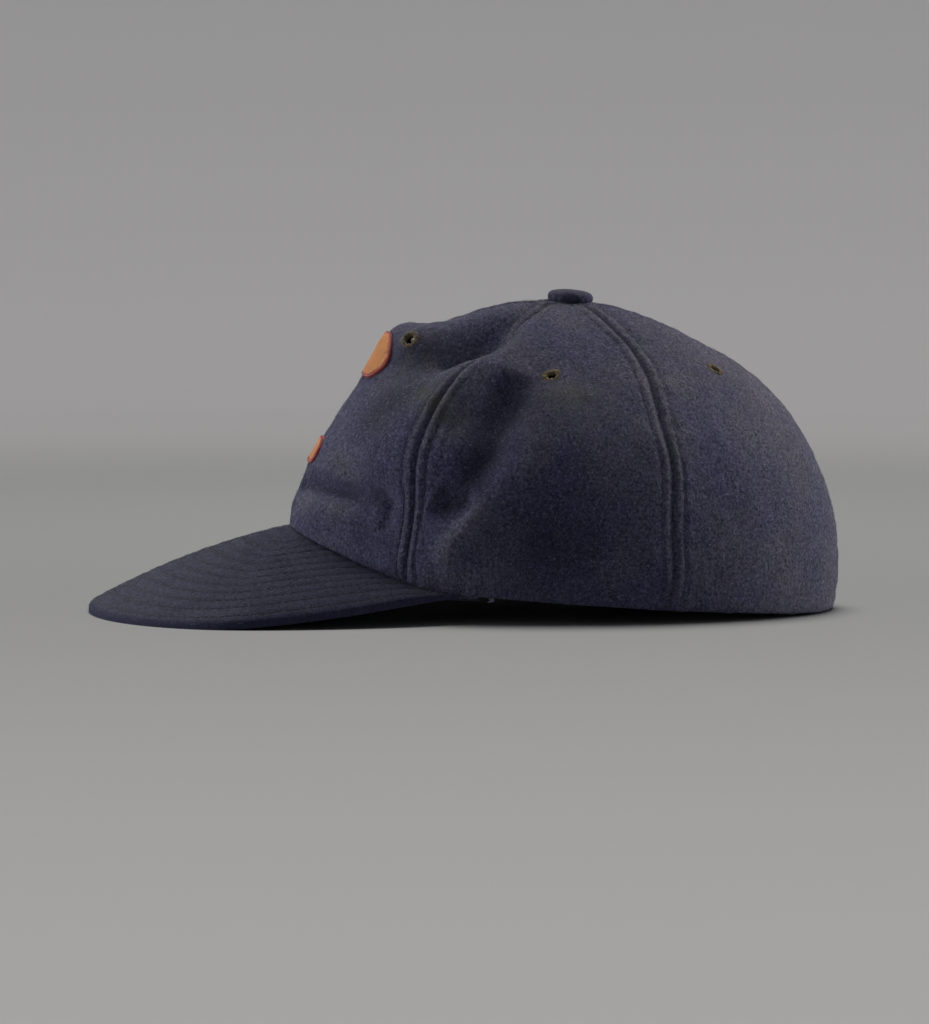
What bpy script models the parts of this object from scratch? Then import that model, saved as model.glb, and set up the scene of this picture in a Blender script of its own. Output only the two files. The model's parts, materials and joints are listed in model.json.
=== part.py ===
"""A soft six-gore wool cap with a flat brim, resting on its brim and the back of its rim.

The cap is worked out in its own frame, in millimetres: the plane of the rim is level,
-Y is the wearer's front, +X the wearer's left and +Z is up.  The sizes below are those of
a small cap, and HEAD_SIZE makes the whole of it larger.  One empty then tips that frame
to the angle at which the real cap lies on a table.
"""
import math
from functools import lru_cache

import bmesh
import bpy
import numpy as np
from mathutils import Matrix, Vector

HEAD_SIZE = 550.0         # round the head that the cap fits, in millimetres
DRAWN_HEAD_SIZE = 524.0   # round the head that the sizes below would fit
UNIT = 0.001 * HEAD_SIZE / DRAWN_HEAD_SIZE
GAP = 0.3                 # air left between two pieces that touch on the real cap

# Crown
WALL = 2.0                # felted wool and its turned seam allowance
GORE_ANGLE = 60.0         # six equal gores, counted in degrees of turn round the crown
STRIPS_ACROSS = 14        # strips of faces across a gore
ROWS_TO_EYELET = 10       # strips up a gore, below and above its eyelet
ROWS_TO_TOP = 7
SEAM_EDGES = (0.15, 2.2, 4.4, 6.6)       # distances of the first columns from the seam
SEAM_RELIEF = (-0.9, 0.2, 0.0, 0.0)      # the cloth dips into the seam and puffs beside it
PUFFED_WIDTH = 40.0       # the seams are flatter where a gore is narrower than this
TOP_RING = Vector((0.0, -3.5, 100.4))    # where the six points of the gores meet
FOLDLESS_TOP = 0.12       # the folds fade out over this last share of the height

# Rim and brim
FRONT_RISE = 16.2         # the crown's lower edge climbs over the brim
RISE_POWER = 1.33
BRIM_TURN = 76.0          # the brim is sewn on from one temple to the other
BRIM_TIP_Y = -161.8
BRIM_TIP_Z = -19.8        # underside of the brim's front edge
BRIM_HALF_WIDTH = 94.3
BRIM_NOSE = 58.0          # how far behind the tip the brim is widest
BRIM_DROP_POWER = 1.73
BRIM_END = Vector((1.5, -3.5, 0.0))      # from the last stitch of the seam to the edge beside it
BRIM_CROWNING = 2.8       # the board bulges upwards between crown and edge
BRIM_STRIPS = 14          # from the front to each end
NOSE_SHARE = 0.65         # share of these strips spent on the curved nose
BRIM_WIDTH = 50.0         # where it is narrower than this, it bulges less
BRIM_SEAM = GAP + 0.1     # air between the crown's lower edge and the brim
BRIM_TOP = 1.6            # heights over the brim's middle surface
BRIM_INSIDE = -0.2
BRIM_BOTTOM = -1.7
TUCK_DROP = 0.45          # the board dips by this much where it runs under the crown
LIP = 3.3                 # the cover is turned under the edge by this much
EDGE_ZONE = 4.2           # the turned edge and what borders it
EDGE_ZONE_SHARE = 0.6     # the most of a narrow section that it may take
BRIM_TAPER_RUN = 16.0     # the board is skived thinner where it is narrower than this
BRIM_THINNEST = 0.35      # share of its thickness left at its ends
UNDERBRIM_TOP = BRIM_INSIDE - GAP
UNDERBRIM_BOTTOM = UNDERBRIM_TOP - 1.0   # a cloth 1 mm thick
UNDERBRIM_SHORTER = 2     # it stops this many strips before the brim's ends

# Sweatband
BAND_HEIGHT_SHARE = 0.22  # of the gore's length
BAND_DEPTH = WALL + GAP + 0.15    # of its outer face under the crown's outer face
BAND_THICKNESS = 1.2
BAND_STEPS = 72
BAND_ROWS = 4
BAND_RECESS = 1.0         # its lower edge stops this far above the crown's
BAND_PEEK = 2.0           # it hangs a little lower beside each end of the brim
BAND_PEEK_TURN = 77.5
BAND_PEEK_SPREAD = 4.0

# Button: radius and height over the gores' points, from the shank's foot to the crown of
# the dome.  The shank closes the hole between the six points.
BUTTON_PROFILE = ((1.4, -2.5), (1.4, 0.6), (4.0, 0.6), (7.3, -0.1), (7.8, 0.4),
                  (7.5, 1.4), (6.2, 2.4), (3.6, 3.0), (1.2, 3.2))
BUTTON_STEPS = 20

# Eyelets: radius and height over the cloth of the thread, down the hole and on the cloth.
EYELET_PROFILE = ((1.45, -1.5), (1.75, -1.5), (1.75, 0.35), (3.1, 0.35), (2.9, 0.9), (1.7, 1.0))
EYELET_HOLE = 2.25
EYELET_COLLAR = 4.2       # ring of cloth round the hole
EYELET_STEPS = 12

# Front stripes
STRIPE_BASE = 0.5         # clear of the cloth, which puffs by 0.2 beside the front seam
STRIPE_THICKNESS = 1.0
STRIPE_STEPS = 10
STRIPE_END = 0.2          # height of the round ends' last section, as a share of the middle's

# Lying on the table
STEEPEST_PITCH = 15.0     # degrees
PITCH_STEPS = 40          # halvings of the range that the pitch is sought in
BACK_OF_RIM = 30          # degrees of turn to each side of the back seam
PRESS = 0.8               # the soft edges flatten by this much where they rest

# The four seam lines of the left half from the lower edge to the button: the front seam,
# the fore and aft side seams and the back seam.  share is the share of the gore's length.
SECTION_COLUMNS = ("share", "front_y", "front_z", "fore_x", "fore_y", "fore_z",
                   "aft_x", "aft_y", "aft_z", "back_y", "back_z")
SECTIONS = (
    (0.00, -94.7, 16.2, 62.4, -54.6, 3.5, 71.8, 32.6, 0.0, 95.5, 0.0),
    (0.12, -90.8, 32.0, 63.5, -54.6, 20.0, 73.8, 32.3, 17.0, 96.0, 18.0),
    (0.25, -84.0, 48.4, 62.8, -55.3, 37.6, 73.6, 31.0, 35.5, 91.0, 38.0),
    (0.38, -74.8, 64.0, 59.2, -51.3, 54.6, 69.8, 28.8, 52.0, 82.5, 57.0),
    (0.50, -68.0, 78.4, 51.5, -43.2, 68.0, 62.3, 25.5, 64.5, 70.5, 71.5),
    (0.60, -62.5, 87.6, 42.5, -35.5, 77.0, 53.5, 21.8, 74.5, 58.7, 81.0),
    (0.70, -48.5, 88.6, 32.5, -28.5, 84.5, 42.5, 17.3, 83.0, 45.0, 88.6),
    (0.82, -31.7, 95.4, 20.5, -21.5, 92.0, 27.5, 10.8, 91.5, 27.7, 95.7),
    (1.00, -6.0, 100.4, 2.165, -4.75, 100.4, 2.165, -2.25, 100.4, -1.0, 100.4),
)

# Dents and swellings of the soft crown.  turn: degrees from the front, the wearer's left
# positive; share: as above; lean: of the long axis over level, in degrees; length and
# width: half sizes in millimetres; rise: outwards in millimetres.
FOLD_COLUMNS = ("name", "turn", "share", "lean", "length", "width", "rise")
FOLDS = (
    ("left_top_valley", 45.0, 0.64, 64.0, 24.0, 9.0, -12.0),
    ("left_brow_valley", 24.0, 0.47, 45.0, 13.0, 8.0, -3.0),
    ("left_shoulder", 62.0, 0.54, 66.0, 22.0, 9.0, 4.0),
    ("left_crest", 72.0, 0.83, 80.0, 14.0, 9.0, 1.8),
    ("left_side_hollow", 76.0, 0.50, 65.0, 20.0, 9.0, -3.5),
    ("left_brow_puff", 30.0, 0.07, 0.0, 15.0, 8.0, 1.2),
    ("left_brow_crease", 40.0, 0.18, 10.0, 14.0, 6.0, -1.6),
    ("left_temple_pit", 67.0, 0.20, 60.0, 9.0, 7.0, -2.5),
    ("left_temple_puff", 72.0, 0.09, 40.0, 12.0, 8.0, 1.5),
    ("right_top_valley", -44.0, 0.68, -70.0, 20.0, 10.0, -4.5),
    ("right_side_hollow", -80.0, 0.48, -65.0, 22.0, 12.0, -2.0),
    ("right_brow_crease", -38.0, 0.18, -8.0, 15.0, 7.0, -1.2),
    ("back_hollow", 172.0, 0.72, 20.0, 26.0, 12.0, -1.5),
)

# The six gores: the turn of each gore's first seam, and where its eyelet was punched.
GORE_COLUMNS = ("name", "first", "eyelet_turn", "eyelet_share")
GORES = (
    ("front_left", 0.0, 25.0, 0.58),
    ("side_left", 60.0, 87.0, 0.62),
    ("back_left", 120.0, 149.0, 0.62),
    ("front_right", -60.0, -28.0, 0.60),
    ("side_right", -120.0, -91.0, 0.62),
    ("back_right", -180.0, -150.0, 0.62),
)

# Plain embroidered stripes across the two front gores.
STRIPE_COLUMNS = ("name", "low_share", "high_share", "half_width")
STRIPES = (
    ("upper_stripe", 0.42, 0.56, 17.0),
    ("lower_stripe", 0.165, 0.235, 12.0),
)


def table(columns, rows):
    """Turns a table into one dictionary for each row."""
    return [dict(zip(columns, row)) for row in rows]


SECTION_ROWS = table(SECTION_COLUMNS, SECTIONS)
FOLD_ROWS = table(FOLD_COLUMNS, FOLDS)
GORE_ROWS = table(GORE_COLUMNS, GORES)
STRIPE_ROWS = table(STRIPE_COLUMNS, STRIPES)


# ---------------------------------------------------------------- the crown's surface

def rim_height(y):
    """Height of the crown's lower edge: level behind the temples, rising over the brim."""
    front = SECTION_ROWS[0]["front_y"]
    end = math.asin(rim_turn_y(BRIM_TURN) / front)
    here = math.asin(max(min(y / front, 1.0), -1.0))
    share = max(here - end, 0.0) / (math.pi / 2 - end)
    return FRONT_RISE * math.sin(share * math.pi / 2) ** RISE_POWER


def even_series(turn, front, fore, aft, back):
    """A value that is the same left and right, passing through its four seam values."""
    mean = (front + back + 2 * (fore + aft)) / 6
    second = (front + back) / 2 - mean
    third = ((front - back) / 2 - (fore - aft)) / 3
    first = (front - back) / 2 - third
    return (mean + first * math.cos(turn) + second * math.cos(2 * turn)
            + third * math.cos(3 * turn))


def odd_series(turn, fore, aft):
    """A sideways distance, nought at the front and back seams."""
    first = (fore + aft) / math.sqrt(3)
    second = (fore - aft) / math.sqrt(3)
    return first * math.sin(turn) + second * math.sin(2 * turn)


def rim_turn_y(degrees):
    """How far back the rim has come at a turn round the crown."""
    row = SECTION_ROWS[0]
    return even_series(math.radians(degrees), row["front_y"], row["fore_y"],
                       row["aft_y"], row["back_y"])


@lru_cache(maxsize=None)
def meridian(degrees):
    """The line up the crown at one turn: its shares of height and its points."""
    turn = math.radians(degrees)
    points = []
    for row in SECTION_ROWS:
        x = odd_series(turn, row["fore_x"], row["aft_x"])
        y = even_series(turn, row["front_y"], row["fore_y"], row["aft_y"], row["back_y"])
        z = even_series(turn, row["front_z"], row["fore_z"], row["aft_z"], row["back_z"])
        points.append((x, y, z))
    x, y, _ = points[0]
    points[0] = (x, y, rim_height(y))
    shares = np.array([row["share"] for row in SECTION_ROWS])
    return shares, np.array(points)


def smooth_crown(degrees, share):
    """A point of the crown before its folds, on a smooth curve through the sections."""
    shares, points = meridian(round(degrees, 6))
    slopes = np.gradient(points, shares, axis=0)
    low = int(np.clip(np.searchsorted(shares, share) - 1, 0, len(shares) - 2))
    span = shares[low + 1] - shares[low]
    t = (share - shares[low]) / span
    point = ((1 + 2 * t) * (1 - t) ** 2 * points[low] + t * (1 - t) ** 2 * span * slopes[low]
             + t * t * (3 - 2 * t) * points[low + 1] + t * t * (t - 1) * span * slopes[low + 1])
    return Vector(point)


@lru_cache(maxsize=None)
def steps_at(degrees, share):
    """Millimetres along the crown for one degree of turn, and for a whole share of height."""
    across = (smooth_crown(degrees + 1, share) - smooth_crown(degrees - 1, share)).length / 2
    up = (smooth_crown(degrees, share + 0.01) - smooth_crown(degrees, share - 0.01)).length
    return across, up / 0.02


def fold_rise(degrees, share):
    """How far the folds push the crown out at a place."""
    rise = 0.0
    for fold in FOLD_ROWS:
        across, up = steps_at(fold["turn"], fold["share"])
        aside = ((degrees - fold["turn"] + 180) % 360 - 180) * across
        above = (share - fold["share"]) * up
        lean = math.radians(fold["lean"])
        along = aside * math.cos(lean) + above * math.sin(lean)
        over = above * math.cos(lean) - aside * math.sin(lean)
        rise += fold["rise"] * math.exp(-(along / fold["length"]) ** 2 - (over / fold["width"]) ** 2)
    return rise


def crown_frame(degrees, share):
    """Point and outward normal of the folded crown's outer face."""
    tiny_turn = 0.5
    tiny_share = 0.004
    low = max(share - tiny_share, 0.0)
    high = min(share + tiny_share, 1.0)
    across = smooth_crown(degrees + tiny_turn, share) - smooth_crown(degrees - tiny_turn, share)
    up = smooth_crown(degrees, high) - smooth_crown(degrees, low)
    plain = across.cross(up).normalized()
    calm = min(1.0, (1.0 - share) / FOLDLESS_TOP)

    def folded(turn, height):
        return smooth_crown(turn, height) + plain * fold_rise(turn, height) * calm

    point = folded(degrees, share)
    across = folded(degrees + tiny_turn, share) - folded(degrees - tiny_turn, share)
    up = folded(degrees, high) - folded(degrees, low)
    return point, across.cross(up).normalized()


def on_crown(degrees, share, height):
    """A point at a height over the crown's outer face."""
    point, normal = crown_frame(degrees, share)
    return point + normal * height


def beside(degrees, share, aside, above):
    """Turn and share of the place some millimetres beside and above another one."""
    across, up = steps_at(degrees, share)
    return degrees + aside / across, share + above / up


# ---------------------------------------------------------------- solids from points

def add_object(name, mesh_data, material, parent):
    """Makes a mesh object of a bmesh, its faces outwards, at its real size in metres."""
    bmesh.ops.recalc_face_normals(mesh_data, faces=mesh_data.faces)
    bmesh.ops.scale(mesh_data, vec=(UNIT, UNIT, UNIT), verts=mesh_data.verts)
    mesh = bpy.data.meshes.new(name)
    mesh_data.to_mesh(mesh)
    mesh_data.free()
    mesh.shade_smooth()
    mesh.set_sharp_from_angle(angle=math.radians(40))
    mesh.materials.append(material)
    item = bpy.data.objects.new(name, mesh)
    bpy.context.collection.objects.link(item)
    item.parent = parent
    return item


def loft(name, rings, closed, material, parent):
    """Joins equal rings of points to one solid, closed round or capped at its ends."""
    bm = bmesh.new()
    loops = [[bm.verts.new(point) for point in ring] for ring in rings]
    pairs = list(zip(loops, loops[1:]))
    if closed:
        pairs.append((loops[-1], loops[0]))
    for one, two in pairs:
        for index in range(len(one)):
            after = (index + 1) % len(one)
            bm.faces.new((one[index], one[after], two[after], two[index]))
    if not closed:
        bm.faces.new(loops[0])
        bm.faces.new(loops[-1])
    return add_object(name, bm, material, parent)


# ---------------------------------------------------------------- the six gores

def gore_shares(eyelet_share):
    """The heights of a gore's rows, with one row at its eyelet."""
    low = [eyelet_share * row / ROWS_TO_EYELET for row in range(ROWS_TO_EYELET)]
    high = [eyelet_share + (1 - eyelet_share) * row / ROWS_TO_TOP for row in range(ROWS_TO_TOP + 1)]
    return low + high


def gore_turns(first, eyelet_turn, share):
    """The turns of a gore's columns on one row, and how full its seams puff there.

    The columns are close beside both seams, and even from there to the eyelet's line.
    """
    width = sum((smooth_crown(first + a + 10, share) - smooth_crown(first + a, share)).length
                for a in range(0, int(GORE_ANGLE), 10))
    near = [SEAM_EDGES[0] / width]
    for column, distance in enumerate(SEAM_EDGES[1:], start=1):
        near.append(min(distance / width, column / STRIPS_ACROSS))
    start = near[-1]
    line = (eyelet_turn - first) / GORE_ANGLE
    steps = STRIPS_ACROSS // 2 - len(near) + 1
    left = [start + (line - start) * step / steps for step in range(1, steps + 1)]
    right = [line + (1 - start - line) * step / steps for step in range(1, steps)]
    shares = near + left + right + [1 - value for value in reversed(near)]
    puff = min(1.0, width / PUFFED_WIDTH)
    return [first + GORE_ANGLE * value for value in shares], puff


def gore(row, material, parent):
    """One gore: an outer and an inner skin, their four edges, and the hole of its eyelet."""
    bm = bmesh.new()
    skins = {"outer": [], "inner": []}
    for share in gore_shares(row["eyelet_share"]):
        turns, puff = gore_turns(row["first"], row["eyelet_turn"], share)
        outer_row = []
        inner_row = []
        for column, turn in enumerate(turns):
            point, normal = crown_frame(turn, share)
            edge = min(column, len(turns) - 1 - column)
            relief = SEAM_RELIEF[edge] * puff if edge < len(SEAM_RELIEF) else 0.0
            outer_row.append(bm.verts.new(point + normal * relief))
            inner_row.append(bm.verts.new(point - normal * WALL))
        skins["outer"].append(outer_row)
        skins["inner"].append(inner_row)

    hole_row = ROWS_TO_EYELET
    hole_column = STRIPS_ACROSS // 2
    hole_loops = {}
    for skin, depth in (("outer", 0.0), ("inner", -WALL)):
        grid = skins[skin]
        for level in range(len(grid) - 1):
            for column in range(STRIPS_ACROSS):
                if level in (hole_row - 1, hole_row) and column in (hole_column - 1, hole_column):
                    continue
                bm.faces.new((grid[level][column], grid[level][column + 1],
                              grid[level + 1][column + 1], grid[level + 1][column]))
        bm.verts.remove(grid[hole_row][hole_column])
        offsets = ((-1, -1), (0, -1), (1, -1), (1, 0), (1, 1), (0, 1), (-1, 1), (-1, 0))
        around = [grid[hole_row + down][hole_column + side] for side, down in offsets]
        for radius in (EYELET_COLLAR, EYELET_HOLE):
            ring = []
            for side, down in offsets:
                direction = Vector((side, down)).normalized() * radius
                turn, share = beside(row["eyelet_turn"], row["eyelet_share"], direction.x, direction.y)
                ring.append(bm.verts.new(on_crown(turn, share, depth)))
            for index in range(len(ring)):
                after = (index + 1) % len(ring)
                bm.faces.new((around[index], around[after], ring[after], ring[index]))
            around = ring
        hole_loops[skin] = around

    def wall(outer_line, inner_line):
        for index in range(len(outer_line) - 1):
            bm.faces.new((outer_line[index], outer_line[index + 1],
                          inner_line[index + 1], inner_line[index]))

    outer, inner = skins["outer"], skins["inner"]
    wall(outer[0], inner[0])
    wall(outer[-1], inner[-1])
    wall([level[0] for level in outer], [level[0] for level in inner])
    wall([level[-1] for level in outer], [level[-1] for level in inner])
    wall(hole_loops["outer"] + hole_loops["outer"][:1], hole_loops["inner"] + hole_loops["inner"][:1])
    return add_object("crown_" + row["name"], bm, material, parent)


# ---------------------------------------------------------------- brim, band, trims

def brim_edge(place):
    """A point of the brim's underside edge: place runs from -1 to 1, 0 at the front."""
    side = math.copysign(1.0, place)
    place = abs(place)
    last = on_crown(BRIM_TURN, 0.0, 0.0) + BRIM_END
    length = last.y - BRIM_TIP_Y
    if place < NOSE_SHARE:
        angle = math.pi / 2 * place / NOSE_SHARE
        back = BRIM_NOSE * (1 - math.cos(angle))
        x = BRIM_HALF_WIDTH * math.sin(angle)
    else:
        share = (place - NOSE_SHARE) / (1 - NOSE_SHARE)
        back = BRIM_NOSE + (length - BRIM_NOSE) * share
        x = BRIM_HALF_WIDTH - (BRIM_HALF_WIDTH - last.x) * share ** 2
    z = BRIM_TIP_Z * (1 - (back / length) ** BRIM_DROP_POWER)
    return Vector((side * x, BRIM_TIP_Y + back, z))


def brim_places():
    """Places of the brim's sections, from the right temple to the left."""
    return [step / BRIM_STRIPS for step in range(-BRIM_STRIPS, BRIM_STRIPS + 1)]


def brim_section(place, outline):
    """One section across the brim: outline holds pairs of a station and a height.

    A station below 1 is a share of the way from the crown to the turned edge, one from 1
    on stands for millimetres in from the edge, and "tuck" for the part under the crown.
    """
    turn = BRIM_TURN * place
    seam, normal = crown_frame(turn, 0.0)
    edge = brim_edge(place)
    thinning = min(max((edge - seam).length / BRIM_TAPER_RUN, BRIM_THINNEST), 1.0)
    seam.z -= BRIM_SEAM + BRIM_TOP * thinning
    edge.z -= BRIM_BOTTOM * thinning
    run = edge - seam
    edge_share = min(EDGE_ZONE / run.length, EDGE_ZONE_SHARE)
    crowning = BRIM_CROWNING * min(run.length / BRIM_WIDTH, 1.0)
    points = []
    for station, height in outline:
        if station == "tuck":
            flat = Vector((normal.x, normal.y, 0.0)).normalized()
            point = seam - flat * WALL
            point.z -= TUCK_DROP
        else:
            if station < 1:
                share = station * (1 - edge_share)
            else:
                share = 1 - edge_share * station / EDGE_ZONE
            point = seam + run * share
            point.z += crowning * 4 * share * (1 - share)
        points.append(point + Vector((0.0, 0.0, height * thinning)))
    return points


BRIM_OUTLINE = (
    ("tuck", BRIM_TOP), (0.0, BRIM_TOP), (0.25, BRIM_TOP), (0.5, BRIM_TOP), (0.75, BRIM_TOP),
    (LIP + 0.4, BRIM_TOP), (1.2, BRIM_TOP - 0.35), (1.0, 0.0), (1.2, BRIM_BOTTOM + 0.25),
    (2.2, BRIM_BOTTOM), (LIP, BRIM_BOTTOM), (LIP + 0.1, BRIM_INSIDE),
    (0.75, BRIM_INSIDE), (0.5, BRIM_INSIDE), (0.25, BRIM_INSIDE), (0.0, BRIM_INSIDE),
    ("tuck", BRIM_INSIDE),
)
UNDERBRIM_OUTLINE = (
    ("tuck", UNDERBRIM_TOP), (0.0, UNDERBRIM_TOP), (0.25, UNDERBRIM_TOP), (0.5, UNDERBRIM_TOP),
    (0.75, UNDERBRIM_TOP), (LIP + 0.5, UNDERBRIM_TOP), (LIP + 0.5, UNDERBRIM_BOTTOM),
    (0.75, UNDERBRIM_BOTTOM), (0.5, UNDERBRIM_BOTTOM), (0.25, UNDERBRIM_BOTTOM),
    (0.0, UNDERBRIM_BOTTOM), ("tuck", UNDERBRIM_BOTTOM),
)


def brim(material, parent):
    """The brim's board in its cover of crown cloth, turned under at the edge."""
    rings = [brim_section(place, BRIM_OUTLINE) for place in brim_places()]
    return loft("brim", rings, False, material, parent)


def underbrim(material, parent):
    """The cloth under the brim, inside the turned edge."""
    places = brim_places()[UNDERBRIM_SHORTER:-UNDERBRIM_SHORTER]
    rings = [brim_section(place, UNDERBRIM_OUTLINE) for place in places]
    return loft("underbrim", rings, False, material, parent)


def sweatband(material, parent):
    """A band inside the rim, following the crown's inner face."""
    rings = []
    for step in range(BAND_STEPS):
        turn = 360.0 * step / BAND_STEPS - 180.0
        peek = math.exp(-((abs(turn) - BAND_PEEK_TURN) / BAND_PEEK_SPREAD) ** 2)
        drop = BAND_RECESS - BAND_PEEK * peek
        outer = []
        inner = []
        for row in range(BAND_ROWS + 1):
            share = BAND_HEIGHT_SHARE * row / BAND_ROWS
            lift = Vector((0.0, 0.0, drop if row == 0 else 0.0))
            outer.append(on_crown(turn, share, -BAND_DEPTH) + lift)
            inner.append(on_crown(turn, share, -BAND_DEPTH - BAND_THICKNESS) + lift)
        rings.append(outer + inner[::-1])
    return loft("sweatband", rings, True, material, parent)


def button(material, parent):
    """The covered button, a low dome whose shank closes the top of the crown."""
    rings = []
    for radius, height in BUTTON_PROFILE:
        ring = []
        for step in range(BUTTON_STEPS):
            angle = 2 * math.pi * step / BUTTON_STEPS
            ring.append(TOP_RING + Vector((radius * math.cos(angle), radius * math.sin(angle), height)))
        rings.append(ring)
    return loft("button", rings, False, material, parent)


def eyelet(row, material, parent):
    """A stitched eyelet: a flange on the cloth and a collar down its hole."""
    rings = []
    for step in range(EYELET_STEPS):
        angle = 2 * math.pi * step / EYELET_STEPS
        ring = []
        for radius, height in EYELET_PROFILE:
            turn, share = beside(row["eyelet_turn"], row["eyelet_share"],
                                 radius * math.cos(angle), radius * math.sin(angle))
            ring.append(on_crown(turn, share, height))
        rings.append(ring)
    return loft("eyelet_" + row["name"], rings, True, material, parent)


def stripe(row, material, parent):
    """A round-ended stripe of embroidered cloth, following both front gores."""
    middle = (row["low_share"] + row["high_share"]) / 2
    _, up = steps_at(0.0, middle)
    half_height = (row["high_share"] - row["low_share"]) / 2 * up
    straight = row["half_width"] - half_height
    rings = []
    for step in range(-STRIPE_STEPS, STRIPE_STEPS + 1):
        aside = row["half_width"] * math.sin(math.pi / 2 * step / STRIPE_STEPS)
        past = max(abs(aside) - straight, 0.0) / half_height
        tall = half_height * max(math.sqrt(max(1 - past ** 2, 0.0)), STRIPE_END)
        ring = []
        for above, height in ((-1, 0), (0, 0), (1, 0), (1, 1), (0, 1), (-1, 1)):
            turn, share = beside(0.0, middle, aside, above * tall)
            ring.append(on_crown(turn, share, STRIPE_BASE + height * STRIPE_THICKNESS))
        rings.append(ring)
    return loft(row["name"], rings, False, material, parent)


# ---------------------------------------------------------------- laying the cap down

def resting_pitch():
    """The angle at which the brim's turned edge and the back of the rim are equally low."""
    edge = [point for place in brim_places() for point in brim_section(place, BRIM_OUTLINE)]
    back = [on_crown(180.0 + turn, 0.0, 0.0) for turn in range(-BACK_OF_RIM, BACK_OF_RIM + 1, 5)]
    low, high = 0.0, math.radians(STEEPEST_PITCH)
    for _ in range(PITCH_STEPS):
        pitch = (low + high) / 2
        tilt = Matrix.Rotation(-pitch, 3, "X")
        if min((tilt @ point).z for point in edge) < min((tilt @ point).z for point in back):
            low = pitch
        else:
            high = pitch
    return pitch


def lay_down(pose, pieces):
    """Tips the cap on to its brim, centres it, and flattens it where it meets the table."""
    pose.rotation_euler = (-resting_pitch(), 0.0, 0.0)
    bpy.context.view_layer.update()
    corners = [piece.matrix_world @ vertex.co for piece in pieces for vertex in piece.data.vertices]
    length = [corner.y for corner in corners]
    width = [corner.x for corner in corners]
    lowest = min(corner.z for corner in corners)
    pose.location = (-(min(width) + max(width)) / 2, -(min(length) + max(length)) / 2,
                     -lowest - PRESS * UNIT)
    bpy.context.view_layer.update()
    for piece in pieces:
        world = piece.matrix_world
        for vertex in piece.data.vertices:
            place = world @ vertex.co
            if place.z < 0.0:
                place.z = 0.0
                vertex.co = world.inverted() @ place


def make_material(name, colour, roughness):
    """A plain cloth or thread finish."""
    material = bpy.data.materials.new(name)
    material.use_nodes = True
    shader = material.node_tree.nodes["Principled BSDF"]
    shader.inputs["Base Color"].default_value = (*colour, 1.0)
    shader.inputs["Roughness"].default_value = roughness
    shader.inputs["Metallic"].default_value = 0.0
    return material


def main():
    for item in list(bpy.data.objects):
        bpy.data.objects.remove(item)

    wool = make_material("navy_wool", (0.034, 0.035, 0.060), 0.95)
    lining = make_material("green_cotton", (0.018, 0.075, 0.048), 0.9)
    band = make_material("cream_leather", (0.60, 0.54, 0.42), 0.6)
    thread = make_material("gold_thread", (0.30, 0.22, 0.11), 0.8)
    felt = make_material("orange_embroidery", (0.62, 0.22, 0.06), 0.85)

    pose = bpy.data.objects.new("lying_cap", None)
    bpy.context.collection.objects.link(pose)

    pieces = []
    for row in GORE_ROWS:
        pieces.append(gore(row, wool, pose))
        pieces.append(eyelet(row, thread, pose))
    pieces.append(brim(wool, pose))
    pieces.append(underbrim(lining, pose))
    pieces.append(sweatband(band, pose))
    pieces.append(button(wool, pose))
    for row in STRIPE_ROWS:
        pieces.append(stripe(row, felt, pose))
    lay_down(pose, pieces)


main()
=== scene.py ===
# %% [markdown]
# # A flat-brim wool cap
# Six gores of thick felted wool are sewn edge to edge into a dome, and a stiff covered brim is
# sewn to its front.  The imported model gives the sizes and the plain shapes.  Each step below
# takes one part of the cap and gives it the cloth, seams and wear of the real thing.

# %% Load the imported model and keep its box
import json
import math

import bmesh
import bpy
import numpy as np
from mathutils import Matrix, Vector, noise
from mathutils.bvhtree import BVHTree
from mathutils.kdtree import KDTree

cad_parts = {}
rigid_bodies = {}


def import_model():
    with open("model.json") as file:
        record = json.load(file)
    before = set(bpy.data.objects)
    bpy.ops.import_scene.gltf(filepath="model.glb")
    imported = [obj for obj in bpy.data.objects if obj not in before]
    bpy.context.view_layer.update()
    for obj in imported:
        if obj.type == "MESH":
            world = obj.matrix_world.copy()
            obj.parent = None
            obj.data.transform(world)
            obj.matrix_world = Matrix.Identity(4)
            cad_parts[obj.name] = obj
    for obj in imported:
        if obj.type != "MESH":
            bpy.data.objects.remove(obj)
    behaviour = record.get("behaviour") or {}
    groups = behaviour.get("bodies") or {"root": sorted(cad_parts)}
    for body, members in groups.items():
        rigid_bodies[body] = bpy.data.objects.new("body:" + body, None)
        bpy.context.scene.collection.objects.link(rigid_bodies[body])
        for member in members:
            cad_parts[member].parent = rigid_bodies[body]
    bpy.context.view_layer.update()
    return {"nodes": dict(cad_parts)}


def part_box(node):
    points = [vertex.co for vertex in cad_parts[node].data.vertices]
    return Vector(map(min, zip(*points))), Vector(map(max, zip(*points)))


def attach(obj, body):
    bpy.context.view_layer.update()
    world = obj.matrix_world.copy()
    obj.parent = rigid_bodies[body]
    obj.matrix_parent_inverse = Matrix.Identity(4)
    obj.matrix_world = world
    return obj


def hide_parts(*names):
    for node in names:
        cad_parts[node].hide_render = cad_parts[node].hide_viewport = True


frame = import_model()
MM = 0.001

# %% [markdown]
# ## Small helpers
# An operator works on whatever is selected, so one helper selects a single object.  Others turn
# a designer's colour into the linear numbers that Blender mixes, add a shader node with its
# settings and links, and read or move all the vertices of a mesh at once.

# %% Helpers for objects and colours
def only(piece):
    """Select one object and make it the active one."""
    bpy.ops.object.select_all(action="DESELECT")
    piece.select_set(True)
    bpy.context.view_layer.objects.active = piece


def paint(code):
    """An sRGB hex colour as linear red, green, blue and alpha."""
    values = [int(code[i:i + 2], 16) / 255 for i in (1, 3, 5)]
    return [v / 12.92 if v <= 0.04045 else ((v + 0.055) / 1.055) ** 2.4 for v in values] + [1.0]

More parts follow.
